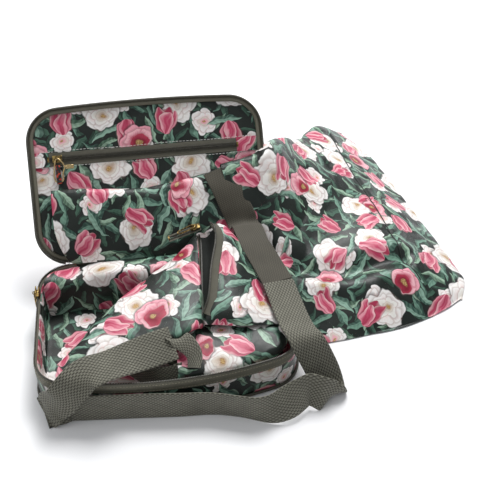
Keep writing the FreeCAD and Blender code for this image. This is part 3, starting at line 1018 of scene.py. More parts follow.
@dataclass(frozen=True)
class TagCloth(Finish):
    """Dark printed tag with small coral sprigs."""

    slot: str = "tag_cloth"

    def paint(self, tree: bpy.types.NodeTree, shader: bpy.types.Node) -> None:
        """Coral sprigs scattered on near black.

        Args:
            tree: The material's nodes.
            shader: Its shader.
        """
        solid = self.solid(tree)
        sprigs = solid.noise(330.0, 3.0).ramp(0.52, 0.58)
        weave = solid.noise(3000.0, 1.0)
        self.feed(tree, shader, Base_Color=sprigs.colour((0.012, 0.014, 0.012), (0.55, 0.055, 0.025)))
        self.bump(tree, shader, weave, 0.06)
        shader.inputs["Roughness"].default_value = 0.6


@dataclass(frozen=True)
class Hidden(Finish):
    """Board or wadding inside the walls; also near-black cloth, which in the holdall's mouth is painted shade."""

    slot: str = "stiffener_board"
    tone: Colour = (0.42, 0.38, 0.31)
    pale: Colour = (0.60, 0.56, 0.48)
    grain: float = 220.0

    def paint(self, tree: bpy.types.NodeTree, shader: bpy.types.Node) -> None:
        """Fibrous grain in two tones.

        Args:
            tree: The material's nodes.
            shader: Its shader.
        """
        grain = self.solid(tree).noise(self.grain, 5.0)
        self.feed(tree, shader, Base_Color=grain.ramp(0.35, 0.65).colour(self.tone, self.pale))
        self.bump(tree, shader, grain, 0.2)
        shader.inputs["Roughness"].default_value = 0.9


FLORAL = FloralCloth()
LINING = FloralCloth("floral_lining", 0.45)
COARSE = Webbing(pitch=1.9, thread=(0.048, 0.045, 0.032), fleck_and_highlight=(0.31, 0.305, 0.24))
TWILL = Webbing(pitch=1.3, thread=(0.030, 0.026, 0.017), fleck_and_highlight=(0.120, 0.108, 0.076), depth=0.15)
TAPE = ZipTape()
RIM = ZipTape(tone=(0.215, 0.205, 0.155), dark=(0.100, 0.096, 0.070))
CORD = Piping()
COIL = Moulded()
BINDING = ZipTape(tone=(0.20, 0.19, 0.14), dark=(0.10, 0.095, 0.068), rib=1.4)
THREAD = Moulded("khaki_zip_tape", (0.28, 0.26, 0.19), (0.40, 0.37, 0.27), 0.7)
WHITE_THREAD = Moulded("floral_lining", (0.62, 0.62, 0.58), (0.75, 0.74, 0.70), 0.7)
BRASS = Metal(bright=(0.38, 0.27, 0.10), dull=(0.10, 0.07, 0.03), roughness=0.34)
GOLD = Metal("pale_gold", (0.80, 0.62, 0.34), (0.62, 0.45, 0.20), 0.22)
TAG = TagCloth()
BOARD = Hidden()
# Near-black cloth: behind the lid's pocket it is the pocket's back; in the holdall's open mouth it is a sheet of
# painted shade.
DARK_CLOTH_AND_PAINTED_SHADE = Hidden("floral_lining", (0.006, 0.008, 0.007), (0.012, 0.015, 0.012), 900.0)
# Near-black cord in the floor cloth's seam: a painted line of shadow.
SEAM_SHADOW_CORD = Moulded("floral_cloth", (0.008, 0.011, 0.009), (0.020, 0.026, 0.021), 0.5)
WADDING = Hidden("wadding", (0.62, 0.61, 0.58), (0.78, 0.77, 0.74), 500.0)


# ---------------------------------------------------------------- the zip-round case
@dataclass(frozen=True)
class Outline:
    """Outline of tray or lid, with round corners and one bowed side, in millimetres.

    It starts at the hinge side's left end, in a plan whose hinge side is at +y.
    """

    bow: float
    corner_x: float = 105.0
    corner_y: float = 55.0
    radius: float = 40.0
    hinge_half: float = 100.0
    hinge_step: float = 5.0

    @property
    def depth(self) -> float:
        """How far the hinge side lies from the middle."""
        return self.corner_y + self.radius

    def run(self, inset: float = 0.0, step: float = 3.0, hinge: bool = False) -> np.ndarray:
        """Points round the outline, inset inwards.

        Args:
            inset: Millimetres inside the outline.
            step: Rough distance from point to point.
            hinge: Whether the hinge's stretch closes the run.

        Returns:
            Array of x and y.
        """
        x, y, half = self.corner_x, self.corner_y, self.hinge_half
        span = (x**2 + self.bow**2) / (2 * self.bow)
        lean = math.asin(x / span)
        radius = self.radius - inset
        side, back = x + radius, y + radius
        right = math.pi / 2
        stretches = [
            self._line((-half, back), (-x, back), self.hinge_step),
            self._arc(-x, y, radius, right, 2 * right, step),
            self._line((-side, y), (-side, -y), step),
            self._arc(-x, -y, radius, 2 * right, 3 * right - lean, step),
            self._arc(0, span - self.bow - y, span + radius, 3 * right - lean, 3 * right + lean, step),
            self._arc(x, -y, radius, 3 * right + lean, 4 * right, step),
            self._line((side, -y), (side, y), step),
            self._arc(x, y, radius, 4 * right, 5 * right, step),
            self._line((x, back), (half, back), self.hinge_step),
        ]
        if hinge:
            return np.concatenate([*stretches, self._line((half, back), (-half, back), step)])
        return np.concatenate([*stretches, [(half, back)]])

    def _line(self, start: tuple[float, float], end: tuple[float, float], step: float) -> np.ndarray:
        """Points along a straight stretch, without its end."""
        count = max(1, round(math.dist(start, end) / step))
        share = np.linspace(0, 1, count, endpoint=False)[:, None]
        return np.array(start) * (1 - share) + np.array(end) * share

    def _arc(self, x: float, y: float, radius: float, start: float, end: float, step: float) -> np.ndarray:
        """Points along an arc, without its end, as many at every inset."""
        count = max(4, round((end - start) * max(self.radius, abs(y)) / step))
        turn = np.linspace(start, end, count, endpoint=False)
        return np.stack([x + radius * np.cos(turn), y + radius * np.sin(turn)], axis=1)


@dataclass
class Shell:
    """Half of the case: an outline, and the place of its plan in the frame."""

    outline: Outline
    place: Matrix
    flip: bool
    rings: int = 34

    def carry(self, plan: np.ndarray, level: np.ndarray | float) -> np.ndarray:
        """Points in millimetres, in the half's own level frame."""
        level = np.broadcast_to(level, plan.shape[:-1])
        if self.flip:
            return np.stack([plan[..., 0], self.outline.depth - plan[..., 1], level], axis=-1)
        return np.stack([plan[..., 0], plan[..., 1], level], axis=-1)

    def band(self, name: str, profile: Sequence[tuple[float, float]], hinge: bool = False) -> bpy.types.Object:
        """Band round the outline.

        Args:
            name: Name of the object.
            profile: Closed section as inset and level pairs.
            hinge: Whether the band also runs along the hinge.

        Returns:
            The band, at its place.
        """
        runs = [self.carry(self.outline.run(inset, hinge=hinge), level) for inset, level in profile]
        points = np.stack(runs, axis=1)
        base = runs[0]
        length = run_length(np.concatenate([base, base[:1]]) if hinge else base)
        section = np.array([*profile, profile[0]])
        flat = grid(length, run_length(section))
        obj = lattice(name, points * MM, flat, (hinge, True))
        obj.data.transform(self.place)
        face_outwards(obj)
        return obj

    def sheet(
        self, name: str, edge: Sequence[tuple[float, float]], middle: float, thick: float, wave: float, seed: float
    ) -> bpy.types.Object:
        """Panel with the outline, whose edge turns up or down.

        Args:
            name: Name of the object.
            edge: Inset and level pairs of the edge, from the flat part outwards.
            middle: Level of the flat part.
            thick: Thickness, below the surface where it is above zero.
            wave: Height of its soft waves.
            seed: Shift of the waves and of the print.

        Returns:
            The panel, at its place.
        """
        base = self.outline.run(edge[0][0], hinge=True)
        rings = [(base * share, middle) for share in np.linspace(0.02, 1.0, self.rings)]
        rings += [(self.outline.run(inset, hinge=True), level) for inset, level in edge[1:]]
        points = np.stack([self.carry(plan, level) for plan, level in rings], axis=0)
        reach = run_length(np.array([(0.0, middle), *[(-inset, level) for inset, level in edge[1:]]]))
        direction = base / np.linalg.norm(base, axis=1, keepdims=True)
        flat = [plan for plan, _ in rings[: self.rings]] + [base + direction * step for step in reach[1:]]
        flat = np.stack(flat, axis=0) + seed
        flat = np.concatenate([flat, flat[:, :1]], axis=1) * MM
        for ring in range(len(rings) - 1):
            fade = min(1.0, (len(rings) - 1 - ring) / 5)
            for column in range(points.shape[1]):
                x, y, _ = points[ring, column]
                broad = noise.noise((x / 34 + seed, y / 26, seed))
                fine = noise.noise((x / 13, y / 17 + seed, seed))
                points[ring, column, 2] += wave * fade * (broad + 0.5 * fine)
        obj = lattice(name, points * MM, flat, (False, True))
        centre = max(obj.data.polygons, key=lambda face: len(face.vertices))
        self._drop_end_faces(obj, len(centre.vertices))
        obj.data.transform(self.place)
        apply_modifier(obj, "SOLIDIFY", thickness=thick * MM, offset=-1.0 if not self.flip else 1.0)
        face_outwards(obj)
        return obj

    @staticmethod
    def _drop_end_faces(obj: bpy.types.Object, corners: int) -> None:
        """Remove the rim's end face and leave the small one in the middle.

        Args:
            obj: The piece.
            corners: Corners of an end face.
        """
        mesh = bmesh.new()
        mesh.from_mesh(obj.data)
        ends = (face for face in mesh.faces if len(face.verts) == corners)
        widest = max(ends, key=lambda face: face.calc_area())
        bmesh.ops.delete(mesh, geom=[widest], context="FACES_ONLY")
        mesh.to_mesh(obj.data)
        mesh.free()

    def seam(self, inset: float, level: float) -> np.ndarray:
        """Line round the outline in millimetres, at its place, without the hinge."""
        run = self.carry(self.outline.run(inset), level) * MM
        return np.array([self.place @ Vector(spot) for spot in run]) / MM

    def outward(self, spot: np.ndarray) -> np.ndarray:
        """Direction away from the half's walls at a point of its seam.

        Args:
            spot: Point in millimetres, in the frame.

        Returns:
            The direction.
        """
        local = np.array(self.place.inverted() @ Vector(spot * MM)) / MM
        plan = np.array([local[0], self.outline.depth - local[1] if self.flip else local[1]])
        corner = np.array([self.outline.corner_x, self.outline.corner_y])
        out = plan - np.clip(plan, -corner, corner)
        if self.flip:
            out = np.array([out[0], -out[1]])
        return np.array(self.place.to_3x3() @ Vector((out[0], out[1], 0.0)))

    def upward(self) -> Outward:
        """Direction out of the half's open side, the same at every point."""
        return steady(*(self.place.to_3x3() @ Vector((0.0, 0.0, 1.0))))


@dataclass
class Tray:
    """Soft tray with floral cloth, khaki zip tape and half of the round zip."""

    shell: Shell
    body: Body = Body.CASE
    floor: float = 4.6

    def build(self) -> None:
        """Build and dress all of the tray's pieces."""
        self._cloth()
        self._zip()
        for name, finish in (("tray_base_board", BOARD), ("tray_wall_foam", WADDING), ("tray_zip_stops", BRASS)):
            frame_node(name, finish)

    def _cloth(self) -> None:
        """Outer wall, base, lining and base piping."""
        section = ((0.2, 1.4), (-0.3, 8), (-0.6, 18), (-0.3, 28), (0.0, 34.4), (1.0, 34.2), (1.0, 18), (1.0, 1.6))
        wall = self.shell.band("tray_outer_wall", section, hinge=True)
        seat(dress(wall, FLORAL), Body.CASE, "tray_wall_skin")
        base = self.shell.sheet("tray_base_cloth", ((1.2, 0.1), (0.4, 0.4), (0.1, 1.4)), 0.1, 1.0, 0.0, 11.0)
        seat(dress(base, FLORAL), Body.CASE, "tray_base_skin")
        edge = ((9, 0), (6.5, 5.4), (5.0, 8.5), (4.4, 14), (4.6, 22), (4.3, 31), (4.0, 39), (3.2, 42.6), (1.6, 43.4))
        lining = self.shell.sheet("tray_lining", edge, self.floor, 0.8, 1.1, 37.0)
        seat(dress(lining, LINING), Body.CASE, "tray_base_lining", "tray_wall_lining")
        cord = rod("tray_piping", self.shell.carry(self.shell.outline.run(-1.6, hinge=True), 2.0), 1.6, True)
        seat(dress(cord, CORD), Body.CASE, "tray_base_piping")

    def _zip(self) -> None:
        """Zip tape with two rows of stitches, and the coil on the rim."""
        section = (
            (-0.1, 33.2), (-0.4, 34.4), (-0.2, 40), (-0.1, 45.6), (0.4, 46.5), (1.2, 46.5), (2.4, 45.8), (3.4, 43.8),
            (3.4, 42.4), (1.4, 42.6), (1.0, 33.6),
        )
        tape = self.shell.band("tray_rim_tape", section)
        seat(dress(tape, RIM), Body.CASE, "tray_zip_tape")
        stitches = []
        for level in (35.6, 43.6):
            stitches += dashes(self.shell.seam(-0.35, level), self.shell.outward, 3.4)
        thread = stamp("tray_rim_stitches", (2.4, 0.5, 0.5), stitches)
        seat(dress(thread, THREAD), Body.CASE)
        self._coil("tray_rim_coil", 0.9, 47.3, 2.3, "tray_zip_coil")

    def _coil(self, name: str, inset: float, level: float, tall: float, node: str) -> None:
        """Teeth of the rim's coil on their cord.

        Args:
            name: Name of the teeth.
            inset: Millimetres inside the outline.
            level: Level of their middle.
            tall: Their height.
            node: Frame node that they stand for.
        """
        seam = self.shell.seam(inset, level)
        teeth = stamp(name, (1.15, 1.9, tall), dashes(seam[2:-2], self.shell.upward(), 1.7))
        cord = rod(name + "_cord", self.shell.seam(inset, level - 0.5), 0.75, False, 8)
        seat(dress(teeth, COIL), self.body, node)
        seat(dress(cord, TAPE), self.body)


def frame_node(name: str, finish: Finish) -> None:
    """Give a shown node of the frame its material."""
    node = bpy.data.objects[name]
    node.data.materials.clear()
    node.data.materials.append(finish.material())


@dataclass
class Lid(Tray):
    """Soft lid with board, wadding, zip pocket and a puffed lining."""

    body: Body = Body.LID
    zip_height: float = 128.0
    zip_half: float = 5.4
    lining_level: float = -6.4
    lining_inset: float = 1.6
    puff: float = 1.5
    pull_reach: float = 34.0

    def build(self) -> None:
        """Build and dress all of the lid's pieces."""
        self._skin()
        self._linings()
        self._rim()
        for name, finish in (
            ("lid_board", BOARD), ("lid_foam", WADDING), ("lid_pocket_back", DARK_CLOTH_AND_PAINTED_SHADE), ("lid_zip_stops", BRASS),
        ):
            frame_node(name, finish)

    def _skin(self) -> None:
        """Outer cloth and edge piping."""
        skin = self.shell.sheet("lid_outer_cloth", ((2.4, -14), (0.8, -13.6), (0.1, -12.6)), -14.0, -1.0, 0.0, 83.0)
        seat(dress(skin, FLORAL), Body.LID, "lid_skin")
        run = self.shell.outline.run(-1.4)
        cord = rod("lid_piping", self.shell.carry(run[5:-5], -12.4), 1.6, False)
        cord.data.transform(self.shell.place)
        seat(dress(cord, CORD), Body.LID, "lid_edge_piping")

    def _linings(self) -> None:
        """Lining above and below the pocket zip, puffed between its seams and flatter under the pull."""
        outline = self.shell.outline
        straight, radius = outline.corner_x, outline.radius - self.lining_inset
        top, bottom = outline.depth + outline.corner_y, outline.depth - outline.corner_y
        corner = straight + radius * np.sin(np.linspace(0, math.pi / 2, 16)[1:])
        across = np.concatenate([-corner[::-1], np.linspace(-straight, straight, 71), corner])
        rows = np.linspace(0, 1, 26)
        for name, side in (("upper", 1), ("lower", -1)):
            near = self.zip_height + side * self.zip_half
            points = np.zeros((len(rows), len(across), 3))
            for column, x in enumerate(across):
                reach = math.sqrt(max(radius**2 - max(abs(x) - straight, 0.0) ** 2, 0.0))
                bow = outline.bow * (1 - min(abs(x) / straight, 1.0) ** 2)
                far = top + reach + bow if side > 0 else bottom - reach
                for row, share in enumerate(rows):
                    up = near * (1 - share) + far * share
                    edge = min(1.0, abs(up - near) / 9, abs(far - up) / 8, (144.6 - abs(x)) / 9)
                    soft = 0.8 + 0.6 * noise.noise((x / 22, up / 16, 3.0)) + 0.35 * noise.noise((x / 7, up / 30, 9.0))
                    past = min(1.0, max(0.0, (near - up - self.pull_reach) / 12.0))
                    calm = 0.25 + 0.75 * past if side < 0 else 1.0
                    points[row, column] = (x, up, self.lining_level + self.puff * edge * soft * calm)
            flat = points[:, :, :2] * MM + (0.013, 0.021)
            obj = lattice(f"lid_lining_{name}_puffed", points * MM, flat)
            obj.data.transform(self.shell.place)
            apply_modifier(obj, "SOLIDIFY", thickness=0.9 * MM, offset=-1.0 * side)
            face_outwards(obj)
            seat(dress(obj, LINING), Body.LID, f"lid_lining_{name}")

    def _rim(self) -> None:
        """Zip tape round the lid, with its bound inner edge and stitches, and the coil."""
        section = (
            (-0.2, -12.4), (-0.4, -11), (-0.3, -6), (-0.1, -2.2), (0.4, -1.5), (1.8, -1.5), (2.4, -2.4), (2.6, -4.4),
            (2.6, -6.2), (1.8, -6.4), (1.4, -3.0), (1.2, -12.0),
        )
        tape = self.shell.band("lid_rim_tape", section)
        seat(dress(tape, TAPE), Body.LID, "lid_zip_tape")
        fold = ((2.3, -6.6), (2.2, -3.6), (2.9, -2.3), (4.3, -1.8), (5.9, -2.2), (6.9, -3.5), (7.0, -5.1), (6.3, -6.6))
        binding = self.shell.band("lid_inner_binding", fold, hinge=True)
        seat(dress(binding, BINDING), Body.LID)
        stitches = dashes(self.shell.seam(-0.35, -10.6), self.shell.outward, 3.4)
        thread = stamp("lid_rim_stitches", (2.4, 0.5, 0.5), stitches)
        seat(dress(thread, THREAD), Body.LID)
        self._coil("lid_rim_coil", 0.9, -0.6, 2.0, "lid_zip_coil")


@dataclass
class ClothHinge:
    """Khaki cloth that joins tray and lid between the two ends of the round zip."""

    half: float = 100.0
    finish: Finish = TAPE

    def build(self) -> None:
        """Fold one strip from the tray's back wall over to the lid's near wall."""
        section = np.array([
            (95.2, 33.6), (95.3, 40.0), (95.3, 45.4), (95.7, 47.3), (96.5, 48.1), (97.4, 47.6), (99.6, 45.4),
            (106.4, 39.9),
        ])
        fine = even_run(section, 30)
        across = np.linspace(-self.half - 0.5, self.half + 0.5, 68)
        points = np.stack([np.insert(fine, 0, x, axis=1) for x in across], axis=0)
        flat = grid(across, run_length(fine))
        strip = lattice("cloth_hinge", points * MM, flat)
        apply_modifier(strip, "SOLIDIFY", thickness=0.7 * MM, offset=0.0)
        face_outwards(strip)
        dress(strip, self.finish)
        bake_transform(strip)
        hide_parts("tray_hinge_panel", "lid_hinge_panel")


# ---------------------------------------------------------------- loose cloth
@dataclass(frozen=True)
class Groove:
    """Seam or valley along a line seen from above, in millimetres."""

    line: tuple[tuple[float, float], ...]
    depth: float
    width: float

    def drop(self, x: float, y: float) -> float:
        """How far the cloth dips at a place, with a slight lip beside it.

        Args:
            x: Place in millimetres.
            y: Place in millimetres.

        Returns:
            The dip in millimetres.
        """
        near = 1e9
        for (ax, ay), (bx, by) in zip(self.line, self.line[1:]):
            dx, dy = bx - ax, by - ay
            share = max(0.0, min(1.0, ((x - ax) * dx + (y - ay) * dy) / (dx * dx + dy * dy)))
            near = min(near, math.hypot(x - ax - dx * share, y - ay - dy * share))
        reach = (near / self.width) ** 2
        return self.depth * (math.exp(-reach) - 0.35 * math.exp(-((near / self.width - 2.0) ** 2)))


@dataclass
class LooseCloth:
    """One free piece of the holdall's cloth, through given rows of points.

    Attributes:
        name: Name of the piece.
        rows: Rows of points in millimetres, in the frame.
        print_place: Where the print starts on it, in metres.
        print_turn: Turn of the print in degrees.
        crease: Height of its creases in millimetres.
        crease_size: Distance between creases in millimetres.
        seed: Shift of the creases.
        thick: Thickness in millimetres.
        finish: Its cloth.
        cell: Size of the mesh's first cells in millimetres.
        grooves: Seams and valleys pressed into it.
    """

    name: str
    rows: Sequence[Sequence[Spot]]
    print_place: tuple[float, float] = (0.0, 0.0)
    print_turn: float = 0.0
    crease: float = 1.4
    crease_size: float = 42.0
    seed: float = 0.0
    thick: float = 0.8
    finish: Finish = FLORAL
    cell: float = 11.0
    grooves: Sequence[Groove] = ()

    def build(self, rests_on: Sequence[str], held: str = "draped") -> bpy.types.Object:
        """Args:
            rests_on: Pieces that it lies on. Not used.
            held: How it is held. Not used.

        Returns:
            The dressed piece, not yet riding on a body.
        """
        control = np.array(self.rows, float)
        tall = max(run_length(control[:, column])[-1] for column in range(control.shape[1]))
        wide = max(run_length(control[row])[-1] for row in range(control.shape[0]))
        fine = smooth_run(control, max(6, round(tall / self.cell) + 1))
        fine = smooth_run(fine.transpose(1, 0, 2), max(6, round(wide / self.cell) + 1)).transpose(1, 0, 2)
        obj = lattice(self.name, fine * MM, np.zeros(fine.shape[:2] + (2,)))
        self._lay_flat(obj)
        apply_modifier(obj, "SUBSURF", levels=2, render_levels=2)
        self._crease(obj)
        area = sum(face.area for face in obj.data.polygons)
        apply_modifier(obj, "SOLIDIFY", thickness=self.thick * MM, offset=0.0, use_even_offset=False)
        face_outwards(obj)
        dress(obj, self.finish, 70.0)
        width = round(max(wide, 0.98 * area / MM**2 / tall) * MM, 3)
        length = round(area / width + 0.0005, 3)
        LOG.info("%s: cut from %.3f x %.3f m", self.name, width, length)
        return obj

    def _lay_flat(self, obj: bpy.types.Object) -> None:
        """Unroll the cloth to its flat layout, at its true size.

        Args:
            obj: The cloth.
        """
        activate(obj)
        bpy.ops.object.mode_set(mode="EDIT")
        bpy.ops.mesh.select_all(action="SELECT")
        bpy.ops.uv.unwrap(method="ANGLE_BASED", margin=0.0)
        bpy.ops.object.mode_set(mode="OBJECT")
        layer = obj.data.uv_layers["flat"]
        corners = np.zeros(len(layer.data) * 2, np.float32)
        layer.data.foreach_get("uv", corners)
        corners = corners.reshape(-1, 2).astype(float)
        flat_area = 0.0
        for face in obj.data.polygons:
            ring = corners[face.loop_start : face.loop_start + face.loop_total]
            following = np.roll(ring, -1, axis=0)
            flat_area += (ring[:, 0] * following[:, 1] - following[:, 0] * ring[:, 1]).sum() / 2
        real_area = sum(face.area for face in obj.data.polygons)
        scale = math.sqrt(real_area / abs(flat_area))
        turn = math.radians(self.print_turn)
        spin = np.array([[math.cos(turn), math.sin(turn)], [-math.sin(turn), math.cos(turn)]])
        corners = corners @ spin * scale + self.print_place
        layer.data.foreach_set("uv", corners.astype(np.float32).ravel())

    def _crease(self, obj: bpy.types.Object) -> None:
        """Raise soft waves and sharper creases on the cloth.

        Args:
            obj: The cloth.
        """
        size = self.crease_size * MM
        normals = [vertex.normal.copy() for vertex in obj.data.vertices]
        for vertex, normal in zip(obj.data.vertices, normals):
            spot = vertex.co / size + Vector((self.seed, self.seed * 0.7, 0.3))
            wave = noise.noise(spot * 0.8)
            bent = spot + noise.noise_vector(spot * 0.6) * 0.5
            ridge = 1.0 - 2.2 * abs(noise.noise(bent * 1.15 + Vector((9.1, 3.3, self.seed))))
            place = vertex.co / MM
            vertex.co += normal * (self.crease * MM) * (0.8 * wave + 0.55 * max(ridge, 0.0) ** 3)
            vertex.co.z -= sum(groove.drop(place.x, place.y) for groove in self.grooves) * MM
            vertex.co.z = max(vertex.co.z, 0.9 * MM)


@dataclass
class Throw:
    """The holdall's body: cloth over the lid, and on the floor to its right."""

    seam: Groove = Groove(((281, 352), (283, 294), (286, 230), (295, 149), (303, 54), (317, 22), (330, 4)), 1.6, 3.0)
    valleys: tuple[Groove, ...] = (
        Groove(((139, 75), (182, 47), (226, 42), (271, 48), (300, 52)), 9.0, 12.0),
        Groove(((200, 178), (226, 196), (250, 235)), 4.0, 10.0),
    )
    cord_radius: float = 0.75

    def build(self) -> None:
        """Build the cloth over the lid, the cloth on the floor with its seam, and the layer under it."""
        self._drape()
        self._lay_seam_shadow(self._floor())
        self._layer()

    def _drape(self) -> None:
        """Cloth over the lid's lower half, and round its edge."""
        tops = ((-122, 90), (-96, 90), (-70, 88), (-26, 84), (24, 87), (68, 97), (94, 104))
        rows = []
        for share, out, squeeze, right in (
            (0.93, -4.4, 1.0, 94), (1.0, -1.5, 1.0, 94), (0.93, 6.0, 1.0, 95), (0.68, 9.0, 1.0, 100),
            (0.38, 10.5, 0.99, 106), (0.12, 9.0, 0.93, 110), (-0.03, 4.5, 0.86, 112),
        ):
            row = [on_lid(x * squeeze, top * share, out + 1.2 * math.sin(x / 19)) for x, top in tops[:-1]]
            rows.append([*row, on_lid(right, tops[-1][1] * share, out)])
        drape = LooseCloth("cloth_over_lid", rows, (0.02, 0.31), 12.0, 2.2, 46.0, 4.0)
        obj = drape.build(["lid_lining_lower_puffed"])
        self._hang(obj, "holdall_lid_drape")

    def _floor(self) -> bpy.types.Object:
        """Cloth from the lid's right side down to the floor, in folds, with its edge turned under.

        Returns:
            The cloth.
        """
        start = (
            (on_lid(88, 96, -4.0), on_lid(126, 104, -3.8), (168, 206, 108)),
            (on_lid(88, 99, -3.4), on_lid(126, 107, -3.0), (167, 211, 118)),
            (on_lid(88, 105, 0.5), on_lid(126, 112, 1.0), (164, 212, 128)),
            (on_lid(89, 98, 8.0), on_lid(128, 106, 9.0), (156, 172, 140)),
            (on_lid(92, 80, 10.5), on_lid(130, 86, 12.0), (153, 148, 121)),
            (on_lid(96, 58, 12.0), on_lid(131, 64, 13.0), (152, 128, 93)),
            (on_lid(101, 36, 12.5), on_lid(131, 38, 12.0), (152, 104, 70)),
            (on_lid(106, 12, 10.0), on_lid(130, 14, 9.0), (152, 66, 52)),
            ((118, 86, 52), (140, 66, 54), (154, 30, 42)),
            ((130, 72, 53), (147, 46, 53), (155, 0, 28)),
            ((138, 62, 53), (149, 38, 50), (153, -32, 4)),
            ((139, 60, 49), (150, 34, 46), (153, -36, 1.2)),
        )
        middle = (
            (212, 276, 30), (213, 290, 46), (218, 290, 72), (205, 242, 88), (196, 188, 93), (192, 142, 77),
            (190, 105, 59), (188, 64, 40), (200, 30, 37), (192, -2, 20), (193, -34, 3), (193, -37, 1.2),
        )
        rest = (
            ((238, 340, 48), (262, 366, 42), (288, 388, 22), (310, 396, 6)),
            ((236, 285, 62), (268, 310, 46), (306, 325, 24), (338, 332, 6)),
            ((234, 205, 72), (278, 225, 48), (322, 235, 25), (355, 225, 6)),
            ((235, 150, 60), (282, 165, 50), (330, 170, 27), (366, 155, 6)),
            ((232, 100, 50), (285, 112, 50), (334, 115, 28), (374, 102, 6)),
            ((225, 62, 42), (286, 80, 49), (337, 80, 28), (378, 70, 6)),
            ((245, 36, 38), (292, 42, 44), (338, 44, 26), (380, 42, 6)),
            ((235, 2, 24), (280, 10, 30), (326, 8, 19), (372, 22, 6)),
            ((235, -30, 2), (287, -23, 2), (338, -6, 2), (366, 10, 2)),
        )
        foot = tuple((x + 1, y + 5, 1.2) for x, y, _ in rest[0])
        back = tuple((x + 1, y + 5, max(z - 38, 1.4)) for x, y, z in rest[0])
        front = tuple((x, y - 3, 1.2) for x, y, _ in rest[-1])
        right = (foot, back, *rest, front)
        rows = [(*first, then, *last) for first, then, last in zip(start, middle, right)]
        rows = [(*row, (row[-1][0] + 5, row[-1][1], 1.2)) for row in rows]
        grooves = (self.seam, *self.valleys)
        floor = LooseCloth("cloth_on_floor", rows, (0.45, 0.12), 74.0, 2.4, 52.0, 7.0, cell=8.5, grooves=grooves)
        obj = floor.build(["cloth_over_lid"], "laid")
        self._hang(obj, "holdall_floor_body", "holdall_front_fold", "holdall_side_panel")
        return obj

    def _lay_seam_shadow(self, cloth: bpy.types.Object) -> None:
        """Lay a near-black cord on the cloth along the seam's groove, as a painted line of shadow in the seam.

        Args:
            cloth: The cloth on the floor.
        """
        bpy.context.view_layer.update()
        seam = []
        for x, y in even_run(np.array([(*spot, 0.0) for spot in self.seam.line[:-1]]), 110)[:, :2]:
            found, spot, _, _ = cloth.ray_cast(Vector((x, y, 500.0)) * MM, Vector((0, 0, -1)))
            if found:
                seam.append((x, y, spot.z / MM + 0.5))
        cord = rod("cloth_floor_seam_shadow", np.array(seam), self.cord_radius, False, 8)
        # The cord's near-black is painted shadow along the seam's groove.
        seat(dress(cord, SEAM_SHADOW_CORD), Body.CASE)

    def _layer(self) -> None:
        """Second layer of cloth that lies flat under the folds."""
        under = [
            [(x + (260 - x) * 0.05, y + (150 - y) * 0.05, 1.6 + 3.5 * abs(math.sin((x + y) / 37))) for x, y in row]
            for row in (
                ((158, -30), (192, -32), (235, -28), (287, -20), (338, -4), (366, 12)),
                ((158, 40), (195, 40), (240, 40), (290, 42), (338, 44), (384, 42)),
                ((160, 110), (195, 110), (235, 112), (285, 114), (334, 115), (378, 105)),
                ((166, 170), (200, 180), (240, 200), (285, 215), (325, 225), (362, 200)),
                ((172, 212), (210, 262), (236, 300), (266, 325), (306, 340), (338, 330)),
                ((178, 226), (213, 282), (238, 340), (262, 366), (288, 386), (308, 392)),
            )
        ]
        layer = LooseCloth("cloth_lower_layer", under, (0.9, 0.5), 20.0, 1.0, 40.0, 12.0)
        seat(layer.build(["cloth_on_floor"], "laid"), Body.CASE)

    def _hang(self, obj: bpy.types.Object, *nodes: str) -> None:
        """Bake the cloth's place into its mesh, and hide the frame nodes that it stands for."""
        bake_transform(obj)
        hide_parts(*nodes)


